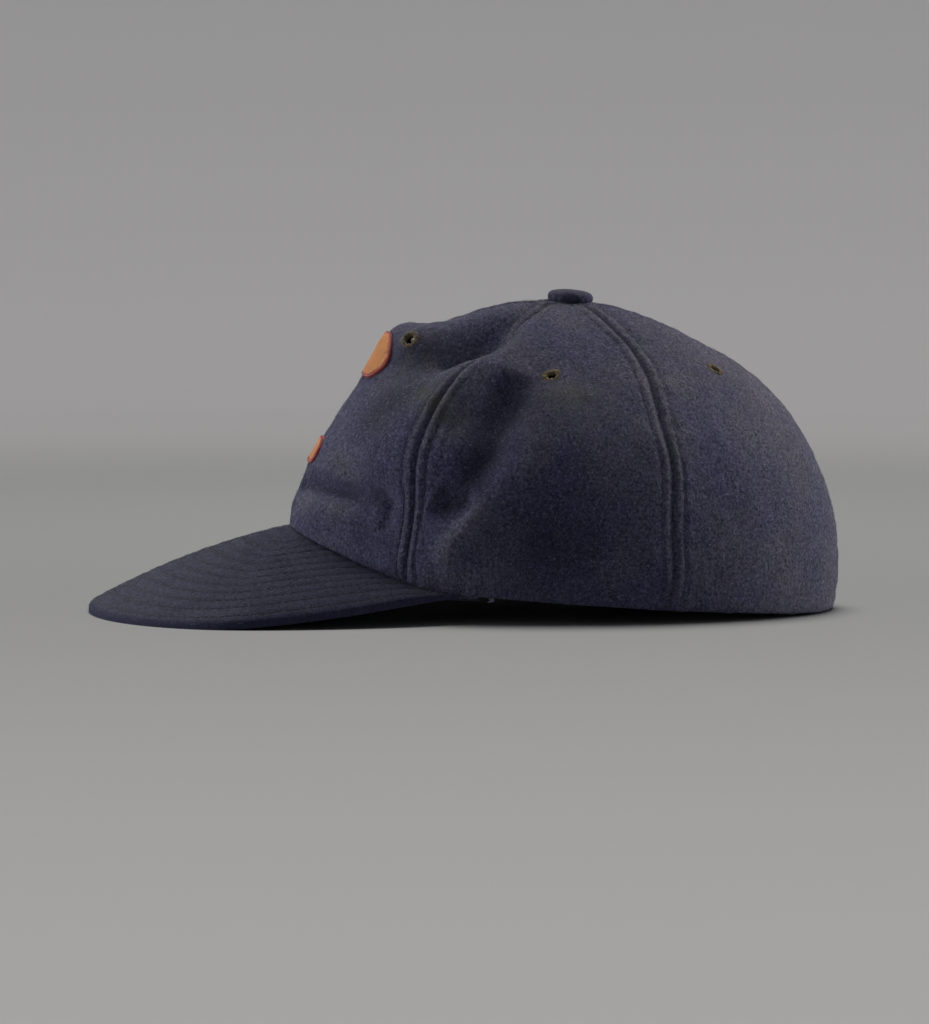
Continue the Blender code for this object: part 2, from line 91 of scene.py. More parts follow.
# %% Helpers for materials
def feed(material, node, inputs):
    """Give each input its value, its colour code, or the node or socket that feeds it."""
    for name, value in inputs.items():
        if isinstance(value, bpy.types.Node):            # a Mix node gives its colour third
            value = value.outputs[2 if value.type == "MIX" else 0]
        if isinstance(value, bpy.types.NodeSocket):
            material.node_tree.links.new(value, node.inputs[name])
        else:
            node.inputs[name].default_value = paint(value) if isinstance(value, str) else value
    return node


def add(material, kind, inputs=None, **settings):
    """Add a node with its settings and inputs."""
    node = material.node_tree.nodes.new("ShaderNode" + kind)
    for name, value in settings.items():
        setattr(node, name, value)
    return feed(material, node, inputs or {})


def new_finish(name):
    finish = bpy.data.materials.new(name)
    finish.use_nodes = True
    return finish


def finished(material, inputs):
    """Feed the material's own shader, and return the material."""
    feed(material, material.node_tree.nodes["Principled BSDF"], inputs)
    return material

# %% Helpers for the vertices of a mesh
def new_mesh(name, points, edges=(), faces=()):
    """An object at the origin, from points in metres."""
    mesh = bpy.data.meshes.new(name)
    mesh.from_pydata([tuple(p) for p in points], list(edges), list(faces))
    piece = bpy.data.objects.new(name, mesh)
    bpy.context.scene.collection.objects.link(piece)
    return piece


def places(piece):
    """The vertices of a mesh in metres, one row each."""
    flat = np.empty(len(piece.data.vertices) * 3)
    piece.data.vertices.foreach_get("co", flat)
    return flat.reshape(-1, 3)


def facing(piece):
    """The directions that the vertices face."""
    flat = np.empty(len(piece.data.vertices) * 3)
    piece.data.vertex_normals.foreach_get("vector", flat)
    return flat.reshape(-1, 3)


def move_to(piece, points):
    piece.data.vertices.foreach_set("co", np.ascontiguousarray(points).ravel())
    piece.data.update()


def store(piece, name, values):
    """Keep one number for each vertex, for a material to read."""
    layer = piece.data.attributes.new(name, "FLOAT", "POINT")
    layer.data.foreach_set("value", np.ascontiguousarray(values, dtype=np.float32))

# %% Soft steps, distances and noise
def unit(rows):
    """Each row at a length of one."""
    return rows / np.maximum(np.linalg.norm(rows, axis=-1, keepdims=True), 1e-12)


def ease(low, high, value):
    """0 below low, 1 above high, and a smooth climb between them."""
    share = np.clip((value - low) / (high - low), 0, 1)
    return share * share * (3 - 2 * share)


def bell(value, middle, width):
    """1 at the middle, falling softly to both sides."""
    return np.exp(-((value - middle) / width) ** 2)


def apart(points, place):
    """Distances from one place in mm."""
    return np.linalg.norm(points - place, axis=1) / MM


def bumps(points, size):
    """Smooth noise from -1 to 1 at points in metres, with bumps of the given size in mm."""
    scale = 1000 / size
    return np.array([noise.noise(Vector(p) * scale) for p in points])

# %% Search a mesh, and hand a finished piece over
def tree_of(piece, wanted=None):
    """A search tree of an object's faces, or of the wanted ones."""
    mesh = piece.data
    faces = [tuple(p.vertices) for p in mesh.polygons if wanted is None or wanted[p.index]]
    return BVHTree.FromPolygons([v.co for v in mesh.vertices], faces)


def hand_over(piece, node, slot, *finishes):
    """A finished piece rides with the cap and stands for its CAD node."""
    for finish in finishes:
        piece.data.materials.append(finish)
    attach(piece, "root")
    if node:
        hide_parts(node)
    print(piece.name, sum(len(p.vertices) - 2 for p in piece.data.polygons), "triangles")

# %% [markdown]
# ## The crown's own directions
# The cap lies on its rim and the brim's edge, so the rim is tipped a little.  The rim's plane is
# found from the cut edges that face down.  A plain dome over that plane then says, for any
# point of the cloth, which way is out of the head.

# %% Fit the rim's plane
GORES = ("crown_front_left", "crown_side_left", "crown_back_left",
         "crown_back_right", "crown_side_right", "crown_front_right")
DOME = np.array((84.0, 100.0, 104.0)) * MM     # half width, half length and height
STRAIGHT_WALL = 16 * MM                        # the crown's lowest part stands straight up

rim_points = np.array([frame["nodes"][node].data.vertices[i].co[:]
                       for node in ("crown_side_left", "crown_side_right")
                       for p in frame["nodes"][node].data.polygons
                       if p.normal.z < -0.9 and p.center.z < 30 * MM for i in p.vertices])
for _ in range(4):                             # fit a plane, drop what stands over it, fit again
    rim_middle = rim_points.mean(axis=0)
    rim_up = np.linalg.svd(rim_points - rim_middle, full_matrices=False)[2][2]
    rim_up = rim_up * np.sign(rim_up[2])
    rim_points = rim_points[(rim_points - rim_middle) @ rim_up < 0.4 * MM]
sideways = np.array((1.0, 0.0, 0.0))
backward = np.cross(rim_up, sideways)
low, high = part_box("button")
crown_top = (np.array(low) + np.array(high)) / 2
dome_middle = crown_top - rim_up * ((crown_top - rim_middle) @ rim_up)
print("rim tipped", round(math.degrees(math.acos(rim_up[2])), 2), "degrees")

# %% Measure from the rim, the top and the dome
def over_rim(points):
    """Height over the rim's plane in mm."""
    return (points - rim_middle) @ rim_up / MM


def from_top(points):
    """Distance from the button in mm."""
    return apart(points, crown_top)


def out_of_dome(points):
    """The way out of the head, as on a plain dome."""
    away = points - dome_middle
    rise = np.maximum(away @ rim_up - STRAIGHT_WALL, 0)
    steep = (np.outer(away @ sideways / DOME[0] ** 2, sideways)
             + np.outer(away @ backward / DOME[1] ** 2, backward)
             + np.outer(rise / DOME[2] ** 2, rim_up))
    return unit(steep)


print("crown", round(float(over_rim(crown_top))), "mm high over its rim")

# %% [markdown]
# ## Cloth from a plain shape
# A soft piece starts as a copy of its CAD solid.  The copy is loose triangles, so it is merged
# and its triangles are paired into quads, and Subdivision Surface then rounds it into cloth.
# Cloth simulation is the other way, but a stiff wool crown keeps the folds it was pressed into,
# and those are easier to place by moving the vertices.

# %% Copy a CAD solid as dense cloth
HEM_SLOPE = -0.6         # faces of the hem look down: the height of their normal is under this


def cloth_from(node, name, levels, crisp=0.0, folded_hem=False):
    """crisp, from 0 to 1, keeps the sharp edges from rounding away, except at a folded hem."""
    piece = bpy.data.objects.new(name, frame["nodes"][node].data.copy())
    bpy.context.scene.collection.objects.link(piece)
    piece.data.materials.clear()
    only(piece)
    bpy.ops.object.mode_set(mode="EDIT")
    bpy.ops.mesh.select_all(action="SELECT")
    bpy.ops.mesh.remove_doubles(threshold=0.01 * MM)
    # both limits are in radians, and wide enough for curved quads
    bpy.ops.mesh.tris_convert_to_quads(face_threshold=3.1, shape_threshold=1.4,
                                       topology_influence=1.3)
    mesh = bmesh.from_edit_mesh(piece.data)
    kept = mesh.edges.layers.float.get("crease_edge") or mesh.edges.layers.float.new("crease_edge")
    for edge in mesh.edges:
        fold = folded_hem and any(face.normal.z < HEM_SLOPE for face in edge.link_faces)
        if fold:       # the hem is round along its fold, and square where it meets the next gore
            out = out_of_dome(np.array([edge.verts[0].co[:]]))[0]
            fold = all(face.normal.z < HEM_SLOPE or abs(float(np.dot(face.normal, out))) > 0.55
                       for face in edge.link_faces)
        if edge.is_manifold and not fold and edge.calc_face_angle() > math.radians(50):
            edge[kept] = crisp
    bmesh.update_edit_mesh(piece.data)
    bpy.ops.object.mode_set(mode="OBJECT")
    rounding = piece.modifiers.new("rounding", "SUBSURF")
    rounding.levels = rounding.render_levels = levels
    bpy.ops.object.modifier_apply(modifier="rounding")
    bpy.ops.object.shade_smooth()
    print(name, "rounded into", len(piece.data.polygons), "faces")
    return piece

# %% [markdown]
# ## Where the seams run
# Two gores meet along a narrow wall, the cloth's thickness high.  Those walls are found by
# looking for faces that almost touch the next gore and lie across the dome.  The outer corner
# of a wall is the seam that the eye follows.

# %% Find the walls where two gores meet
WALL_GAP = 0.7           # mm: two gores' walls that are closer than this meet
cad_tree = {node: tree_of(frame["nodes"][node]) for node in GORES}
seam_tree = {}
for node in GORES:
    mesh = frame["nodes"][node].data
    centres = np.array([p.center[:] for p in mesh.polygons])
    across = np.abs((np.array([p.normal[:] for p in mesh.polygons]) * out_of_dome(centres)).sum(axis=1))
    wanted = [across[i] < 0.6 and any(cad_tree[other].find_nearest(centres[i], WALL_GAP * MM)[0]
                                      for other in GORES if other != node)
              for i in range(len(centres))]
    seam_tree[node] = tree_of(frame["nodes"][node], wanted)
    print(node, sum(wanted), "seam faces")

# %% The outside of all six gores
outer_faces = []
outer_points = []
for node in GORES:
    mesh = frame["nodes"][node].data
    first = len(outer_points)
    outer_points += [v.co[:] for v in mesh.vertices]
    centres = np.array([p.center[:] for p in mesh.polygons])
    outs = (np.array([p.normal[:] for p in mesh.polygons]) * out_of_dome(centres)).sum(axis=1)
    outer_faces += [[first + i for i in p.vertices] for p in mesh.polygons if outs[p.index] > 0.3]
outer_skin = BVHTree.FromPolygons(outer_points, outer_faces)
print(len(outer_faces), "faces outside")

# %% Helpers for corners and lines
CORNER_GAP = 0.65        # mm: a corner this close to the next gore is on the seam
LINE_STEP = 0.5          # mm between the points of a line over the cloth


def solid_corners(node):
    """The corners of a CAD solid in metres, each once."""
    return np.unique(np.array([v.co[:] for v in frame["nodes"][node].data.vertices]).round(6), axis=0)


def smooth(line, times):
    """Even out the points between a line's ends."""
    for _ in range(times):
        line[1:-1] = (line[:-2] + 2 * line[1:-1] + line[2:]) / 4
    return line


def evenly(points, step):
    """A line through the points, cut into equal steps (metres)."""
    points = np.asarray(points, dtype=float)
    run = np.concatenate([[0], np.cumsum(np.linalg.norm(np.diff(points, axis=0), axis=1))])
    count = max(int(run[-1] / step), 2)
    marks = np.linspace(0, run[-1], count + 1)
    return np.stack([np.interp(marks, run, points[:, k]) for k in range(3)], axis=1)

# %% Draw the seam lines
def seam_line(one, other):
    """The outside of the seam between two gores, from the rim to the button."""
    points = np.array([p for p in solid_corners(one)
                       if cad_tree[other].find_nearest(p, CORNER_GAP * MM)[0]])
    outs = out_of_dome(points)
    keep = []
    for i, point in enumerate(points):
        gap = points - point
        close = np.linalg.norm(gap, axis=1) < 3.2 * MM
        keep.append(not np.any((gap[close] @ outs[i]) > 0.8 * MM))        # nothing stands over it
    points = points[keep]
    points = points[from_top(points) > 7]
    points = points[np.argsort(-from_top(points))]
    return smooth(evenly(points, LINE_STEP * MM), 6)


seam_lines = {(one, other): seam_line(one, other)
              for one, other in zip(GORES, GORES[1:] + GORES[:1])}
for pair, line in seam_lines.items():
    print(pair, "seam", round(len(line) * LINE_STEP), "mm")

# %% [markdown]
# ## The hem, and how the cloth wanders
# The crown's lower edge is folded under.  At the front it rises along the brim, and elsewhere
# it is the rim.  Distances from this hem say where the relief fades and where the cloth has to
# meet the brim.  Hand-guided seams also wander a little, so the whole crown is drawn
# sideways by a slow drift that stands still at the hem, the eyelets and the button.

# %% Find the hem and the eyelets
hem_points, hem_faces = [], []
for node in GORES:
    for p in frame["nodes"][node].data.polygons:
        if p.normal.z < HEM_SLOPE and p.center.z < 50 * MM:
            hem_faces.append([len(hem_points) + k for k in range(len(p.vertices))])
            hem_points += [frame["nodes"][node].data.vertices[i].co[:] for i in p.vertices]
hem_tree = BVHTree.FromPolygons(hem_points, hem_faces)
eyelet_places = [(np.array(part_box(n)[0]) + np.array(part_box(n)[1])) / 2
                 for n in sorted(frame["nodes"]) if n.startswith("eyelet_")]
print(len(hem_faces), "hem faces and", len(eyelet_places), "eyelets")


def from_hem(points):
    """The nearest place of the hem, and the distance from it in mm."""
    found = [hem_tree.find_nearest(p) for p in points]
    return np.array([f[0][:] for f in found]), np.array([f[3] for f in found]) / MM

# %% Drift the cloth
# where the fore seam has been pulled into a slight S: place, half width and push in mm
PULLS = (((57, -31, 58), 11, (-0.7, -2.0, 0.0)), ((59, -30, 40), 8, (0.7, 1.4, 0.0)),
         ((60, -31, 26), 6, (-0.3, -1.4, 0.0)))
DRIFT = 2.0              # mm, the most that the slow drift moves the cloth


def wander(points, hem):
    """The cloth's sideways drift in metres."""
    drift = np.column_stack([bumps(points + shift, 25) for shift in (0.0, 0.37, 0.81)])
    out = out_of_dome(points)
    drift -= (drift * out).sum(axis=1)[:, None] * out
    still = ease(12, 26, from_top(points)) * ease(1, 12, hem)
    for place in eyelet_places:
        still *= ease(4, 13, apart(points, place))
    drift *= DRIFT
    for place, size, push in PULLS:
        drift += bell(apart(points, np.array(place) * MM), 0, size)[:, None] * np.array(push)
    return drift * still[:, None] * MM

# %% [markdown]
# ## The brim
# The brim is a stiff board in a cover of the crown's wool, and it is sewn through from edge to
# edge in rows a quarter inch apart, each parallel to the outer edge.  The rows press shallow
# channels into the wool, and the cloth swells between them.  The distance from the outer edge,
# measured in space, gives the channels their places.

# %% Find the brim's outer edge
def outer_edge(node):
    """The plan outline of a brim without its chord at the back, as a line in space."""
    points = solid_corners(node)
    ring = []
    for order in (1, -1):            # the half of the hull to the front, then the back
        half = []
        for point in points[np.lexsort((points[:, 1], points[:, 0]))][::order]:
            while len(half) > 1:
                first, second = half[-1] - half[-2], point - half[-1]
                if first[0] * second[1] - first[1] * second[0] > 0:
                    break
                half.pop()
            half.append(point)
        ring += half[:-1]
    ring = np.array(ring)
    chord = np.linalg.norm(np.roll(ring, -1, axis=0) - ring, axis=1).argmax()
    return smooth(evenly(np.roll(ring, -chord - 1, axis=0), LINE_STEP * MM), 12)


edge_line = outer_edge("brim")
edge_tree = KDTree(len(edge_line))
for i, point in enumerate(edge_line):
    edge_tree.insert(point, i)
edge_tree.balance()
FIRST_ROW, ROW_STEP = 4.6, 6.35          # mm from the edge, and from row to row: a quarter inch
ROWS = [FIRST_ROW + ROW_STEP * k for k in range(10)]
print("brim edge", round(len(edge_line) * LINE_STEP), "mm long, between",
      (edge_line[[0, -1]] / MM).round(1))

# %% Finer faces across the rows
def cut_across(piece):
    """Halve the faces of the upper and lower side once more, in the direction across the rows."""
    only(piece)
    bpy.ops.object.mode_set(mode="EDIT")
    bpy.ops.mesh.select_all(action="DESELECT")
    mesh = bmesh.from_edit_mesh(piece.data)
    for edge in mesh.edges:
        if all(abs(face.normal.z) > 0.3 for face in edge.link_faces):
            middle = (edge.verts[0].co + edge.verts[1].co) / 2
            inward = (middle - edge_tree.find(middle)[0]).normalized()
            ahead = (edge.verts[1].co - edge.verts[0].co).normalized()
            edge.select = abs(ahead.dot(inward)) > 0.75
    bmesh.update_edit_mesh(piece.data)
    bpy.ops.mesh.subdivide(number_cuts=1, smoothness=0, quadcorner="STRAIGHT_CUT")
    bpy.ops.object.mode_set(mode="OBJECT")

# %% Press the rows into the cloth
CHANNEL = 0.62           # mm: half width of the channel that a row presses


def quilt(piece, depth, swell):
    """Press the rows into a side of the brim, and store what the material reads."""
    points, normal = places(piece), facing(piece)
    gap = np.array([edge_tree.find(p)[2] for p in points]) / MM
    flat = ease(0.2, 0.6, np.abs(normal[:, 2]))
    phase = (gap - ROWS[0]) / ROW_STEP
    wave = swell * np.cos(2 * math.pi * (phase - 0.5)) * ease(ROWS[0], ROWS[0] + 2, gap)
    channel = sum(bell(gap, row, CHANNEL) for row in ROWS)
    soft = 0.3 * bumps(points, 40) + 0.12 * bumps(points, 11)
    move = flat * (wave - depth * channel) + soft * ease(0, 6, gap) * ease(4, 12, points[:, 2] / MM)
    moved = points + normal * move[:, None] * MM
    moved[:, 2] = np.maximum(moved[:, 2], 0.0)
    move_to(piece, moved)
    paler_to_the_front = 1.35 * ease(50, 128, -points[:, 1] / MM) - 0.1       # the brim is paler towards its front end
    # wear and painted light: the swells between the rows are paler than the channels
    rubbed = flat * (0.3 * wave / swell + 0.3 * bumps(points, 9) + paler_to_the_front)
    store(piece, "rubbed", rubbed * ease(1.5, 3.5, gap))
    # painted shade: the channels of the rows are darkened
    store(piece, "hollow", 0.6 * channel * flat)
    # painted shade: a band along the outer edge, where the cover turns round it, is darkened
    store(piece, "stained", 0.75 * (1 - ease(1.5, 3.6, gap)))

# %% Cover the brim
brim = cloth_from("brim", "brim_cover", 3, crisp=0.75)
cut_across(brim)
quilt(brim, 0.14, 0.05)
brim_board = tree_of(brim)
print("brim", (np.ptp(places(brim), axis=0) / MM).round(1), "mm")

# %% [markdown]
# ## The shape of a stitched seam
# After the gores are joined, the spare cloth is folded back to both sides and stitched down, so
# the seam is a thin dark line between two soft welts, with a row of topstitching outside each.
# Near the rim the rows fade out under the sweatband's stitching, and the cloth puckers a
# little between stitches.  Inside, a flat tape covers the spare cloth.

# %% Seam relief in mm, by distance from the seam
TOPSTITCH = 4.1          # from the seam to its row of stitches
TAPE_HALF = 7.5          # half width of the tape inside


def seam_outside(side):
    return (-0.3 * bell(side, 0, 0.35) + 0.36 * bell(side, 1.8, 1.4)
            - 0.36 * bell(side, TOPSTITCH, 0.65) + 0.12 * bell(side, 6.7, 1.5))


def seam_inside(side):
    return 0.5 * (1 - ease(TAPE_HALF - 0.8, TAPE_HALF, side)) - 0.2 * bell(side, TOPSTITCH, 0.6)


print("relief in mm at the seam, on the welt and at the stitches",
      [round(float(seam_outside(side)), 2) for side in (0, 2, TOPSTITCH)])

# %% [markdown]
# ## Creases
# The crown has been worn, packed and shaped by hand.  Each crease or swelling is one line over
# the cloth through three points, with a half width and a rise in mm.  A negative rise is a
# hollow.  The left side's are the strongest, where the brim's corner pulls at the fore seam.

# %% The creases and swellings
CREASES = (
    ("brow crease", (-6, -62, 47), (38, -46, 45), (62, -26, 43), 3.2, -3.0),
    ("sharp line of the brow crease", (2, -62, 46), (30, -51, 45), (51, -37, 44), 1.6, -0.8),
    ("roll over the brow", (18, -51, 55), (41, -39, 54), (57, -26, 52), 5.5, 0.8),
    ("roll under the brow", (14, -60, 38), (39, -47, 37), (54, -35, 35), 5.5, 1.5),
    ("pinch by the fore seam", (54, -34, 46), (58, -30, 43), (60, -29, 38), 2.2, -1.1),
    ("pull under the pinch", (58, -30, 43), (59, -31, 36), (60, -32, 29), 2.0, -1.1),
    ("fold beside the pull", (55, -34, 42), (55, -35, 36), (56, -34, 30), 2.6, 0.6),
    ("temple pinch", (70, -14, 44), (75, -7, 39), (79, -1, 42), 4.2, -2.8),
    ("lip of the temple pinch", (69, -15, 46), (68, -16, 42), (69, -15, 36), 2.2, 0.7),
    ("temple roll", (75, -11, 19), (78, -4, 31), (79, 4, 44), 4.6, 2.0),
    ("long hollow", (78, -8, 41), (75, 6, 62), (54, 16, 88), 7.5, -4.9),
    ("bank of the long hollow", (78, 4, 46), (80, 17, 52), (75, 28, 66), 6.0, 0.6),
    ("rear bank", (78, 22, 58), (70, 30, 74), (58, 32, 86), 8.0, 0.6),
    ("side sag", (82, 18, 32), (83, 32, 26), (81, 48, 24), 13.0, -1.5),
    ("nape pull", (66, 84, 14), (60, 96, 22), (50, 106, 26), 6.0, 0.5),
    ("right brow crease", (-20, -55, 50), (-40, -43, 47), (-56, -31, 41), 3.0, -1.1),
    ("right brow roll", (-24, -50, 57), (-42, -38, 54), (-56, -27, 50), 6.0, 0.8),
    ("right temple pinch", (-70, -14, 34), (-75, -7, 36), (-78, -1, 42), 3.6, -1.2),
    ("right temple roll", (-74, -10, 50), (-77, 0, 52), (-78, 12, 50), 5.0, 0.7),
    ("right hollow", (-76, 8, 58), (-70, 16, 72), (-56, 18, 86), 12.0, -1.5),
    ("right side sag", (-82, 24, 24), (-83, 38, 30), (-80, 54, 34), 11.0, -0.9),
    ("rear dent", (-30, 118, 58), (-12, 124, 62), (10, 124, 60), 12.0, -1.2),
    ("rear roll", (22, 128, 30), (8, 130, 36), (-14, 129, 34), 8.0, 0.7),
    ("top sag", (-26, 60, 106), (-8, 66, 107), (14, 62, 107), 10.0, -0.7),
)

# %% Lay the creases on the crown
creases = []
for _, start, middle, end, half_width, rise in CREASES:
    line = evenly(np.array([start, middle, end]) * MM, 1.5 * MM)
    for _ in range(10):
        line[1:-1] = (line[:-2] + line[2:]) / 2
    line = np.array([outer_skin.find_nearest(p)[0][:] for p in line])
    strength = 1 - np.abs(np.linspace(-1, 1, len(line))) ** 3        # it fades out at both ends
    creases.append((line, half_width, rise * strength))
print(len(creases), "creases")


def creasing(points):
    """Rise of the cloth in mm from all the creases."""
    total = np.zeros(len(points))
    for line, half_width, rise in creases:
        reach = 2.6 * half_width * MM
        inside = (points > line.min(0) - reach) & (points < line.max(0) + reach)
        near = np.flatnonzero(np.all(inside, axis=1))
        if len(near):
            gaps = np.linalg.norm(points[near, None] - line, axis=2)
            nearest = gaps.argmin(axis=1)
            gap = gaps[np.arange(len(near)), nearest] / MM
            total[near] += rise[nearest] * bell(gap, 0, half_width)
    return total

# %% [markdown]
# ## The gores
# Each gore is shaped in one pass.  The relief moves the outer face only, the tape the inner
# face only, and the creases and the cloth's soft unevenness move both, so the wool keeps its
# thickness.  The cut walls are pressed against the next gore.  Three numbers are kept for the
# material: how much wear and painted light pale a place, how much painted shade darkens it
# in a fold or at the seam's dark middle line, and how stained it is.

# %% Bend the cloth down to the brim
HEM_EASE = 9.0           # mm over the hem in which the cloth bends down to the brim


def onto_brim(point, over):
    """The place on the brim under a point, looked for from over mm above it."""
    start = Vector(point + rim_up * over * MM)
    place = brim_board.ray_cast(start, Vector(-rim_up), (over + 4) * MM)[0]
    return brim_board.find_nearest(point, 4 * MM)[0] if place is None else place


def drop_to_brim(points, foot, hem):
    """How far, in metres, the cloth over the hem goes down to lie on the brim."""
    drop = np.zeros(len(points))
    for i in np.flatnonzero((hem < HEM_EASE) & (points[:, 1] < 8 * MM)):
        place = onto_brim(foot[i], 1)
        if place is not None:
            gap = np.clip((foot[i][2] - place.z) / MM, 0, 3) + 0.35
            share = (1 - ease(0.5, HEM_EASE, hem[i])) * (1 - ease(-3, 7, foot[i][1] / MM))
            drop[i] = gap * MM * float(share)
    return drop

# %% Stains and dark places
# old stains, and spots of painted shade: low on the sides, and where a crease ends in a pinch
STAINS = (((24, -17, 91), 12, 0.5), ((64, 37, 78), 11, 0.5), ((61, -9, 76), 9, 0.7),
          ((51, -17, 81), 6, 0.8), ((40, 12, 99), 9, 0.4), ((-58, 20, 80), 12, 0.5),
          ((-20, 96, 84), 14, 0.4), ((70, 66, 58), 10, 0.35), ((-74, 52, 46), 10, 0.4),
          ((30, 110, 60), 9, 0.4))
PAINTED_SHADE_SPOTS = (((82, 20, 33), 18, 0.65), ((40, -31, 74), 13, 1.2), ((42, -17, 83), 10, 0.65),
          ((67, 24, 76), 9, 0.7), ((74, 22, 68), 9, 0.35), ((55, -35, 44), 4, 0.6),
          ((52, -38, 31), 6, 0.45), ((83, 50, 30), 16, 0.2), ((-82, 40, 26), 24, 0.4))


def spots(points, table):
    """The sum of soft round spots, each with a place and a half width in mm and a depth."""
    return sum(depth * bell(apart(points, np.array(place) * MM), 0, size)
               for place, size, depth in table)

# %% Shape one gore
def shape_gore(node, piece):
    points, normal = places(piece), facing(piece)
    out = out_of_dome(points)
    face = (normal * out).sum(axis=1)                    # 1 outside, -1 inside, 0 on a cut wall
    blend = ease(0.25, 0.75, np.abs(face))[:, None]
    out = unit(blend * normal * np.sign(face)[:, None] + (1 - blend) * out)
    outside, inside = ease(0.1, 0.6, face), ease(0.1, 0.6, -face)
    found = [seam_tree[node].find_nearest(p) for p in points]
    seam_point = np.array([f[0][:] for f in found])
    side = np.array([f[3] for f in found]) / MM
    foot, hem = from_hem(points)
    top = from_top(points)
    fade = ease(2, 7, hem) * ease(9, 15, top)
    front = 1 - ease(0, 30, seam_point[:, 1] / MM)       # the fold at the top hides the fore seams
    fade *= 1 - 0.8 * front * (1 - ease(60, 84, top))
    pucker = bumps(seam_point, 4.0) * bell(side, 3.5, 4)
    pucker += 0.6 * bumps(points, 3.2) * bell(side, 5, 2.5)
    strength = 0.8 + 0.5 * bumps(seam_point, 12)
    relief = seam_outside(side) * fade * strength + 0.4 * pucker * ease(1, 5, hem)
    relief[side < 1.0] = np.minimum(relief, 0)[side < 1.0]
    joint = (1 - ease(0, 30, foot[:, 1] / MM)) * bumps(foot, 5) * bell(hem, 3, 3)
    creased = creasing(points)
    soft = 0.6 * bumps(points, 34) + 0.3 * bumps(points, 14) + 0.14 * bumps(points, 6)
    soft *= ease(0, 8, hem) * ease(6, 20, top)
    move = creased + soft * ease(0, 3, side) + outside * (relief + 0.4 * joint)
    move -= inside * seam_inside(side) * ease(7, 10, top)
    moved = points + out * move[:, None] * MM + wander(points, hem)
    wall = (np.abs(face) < 0.5) & (side < 0.25)
    moved[wall] += normal[wall] * 0.28 * MM
    moved[:, 2] -= drop_to_brim(points, foot, hem)
    moved[:, 2] = np.maximum(moved[:, 2], 0.0)
    move_to(piece, moved)
    lit = ease(0.15, 0.95, normal[:, 2])                 # painted light: what faces up is paler and greyer, as where the light from above falls
    paler_at_the_back = ease(50, 120, points[:, 1] / MM)           # and the back is paler and greyer
    # wear and painted light: the welts beside each seam, the crests of creases and the cloth's bulges
    # are paler
    rubbed = (0.5 * bell(side, 2.1, 1.2) * fade + 0.3 * creased + 0.35 * soft + 0.35 * lit
              + 0.4 * paler_at_the_back - 0.15)
    store(piece, "rubbed", np.clip(rubbed, -1, 1) * outside)
    # painted shade: the hollows of creases and the listed spots are darkened; the seam's middle is a
    # dark line
    hollow = -creased / 4 + 0.3 * bell(side, 0, 0.4) * fade + spots(points, PAINTED_SHADE_SPOTS)
    store(piece, "hollow", np.clip(hollow, 0, 1) * outside)
    stained = spots(points, STAINS) * (1 + 0.6 * bumps(points, 4))
    store(piece, "stained", np.clip(stained, 0, 1) * outside)
    return face, side

# %% Shape all six, and tell the tape from the wool
gores = {}
gore_faces = {}
for node in GORES:
    name = node.replace("crown_", "") + "_gore"
    gores[node] = cloth_from(node, name, 3, crisp=0.8, folded_hem=True)
    face, side = shape_gore(node, gores[node])
    corners = np.empty(len(gores[node].data.loops), dtype=np.int32)
    gores[node].data.loops.foreach_get("vertex_index", corners)
    corners = corners.reshape(-1, 4)
    taped = side[corners].mean(axis=1) < TAPE_HALF
    number = np.where(face[corners].mean(axis=1) > -0.5, 0, np.where(taped, 2, 1))
    number = np.ascontiguousarray(number, dtype=np.int32)
    gores[node].data.polygons.foreach_set("material_index", number)
    gore_faces[node] = face[corners].mean(axis=1) > 0.5
    print(name, int((number == 2).sum()), "of its faces are under the tape")

# %% The crown's outside, for the stitches to lie on
crown_points, crown_faces = [], []
for node, piece in gores.items():
    first = len(crown_points)
    crown_points += [v.co[:] for v in piece.data.vertices]
    crown_faces += [[first + i for i in p.vertices] for p in piece.data.polygons
                    if gore_faces[node][p.index]]
crown_cloth = BVHTree.FromPolygons(crown_points, crown_faces)
print(len(crown_faces), "faces of the crown's outside")

# %% [markdown]
# ## Felted wool
# The cloth is melton: a wool twill that was fulled and brushed until the fibres hide the weave.
# The wool was dyed before it was spun, so navy, violet-blue and grey fibres lie side by side.
# Loose fibre ends catch light at grazing angles, which the shader's sheen gives.  The fibres
# are 0.02 mm thick, too fine to show, so tufts of them are drawn 0.5 to 1 mm across.

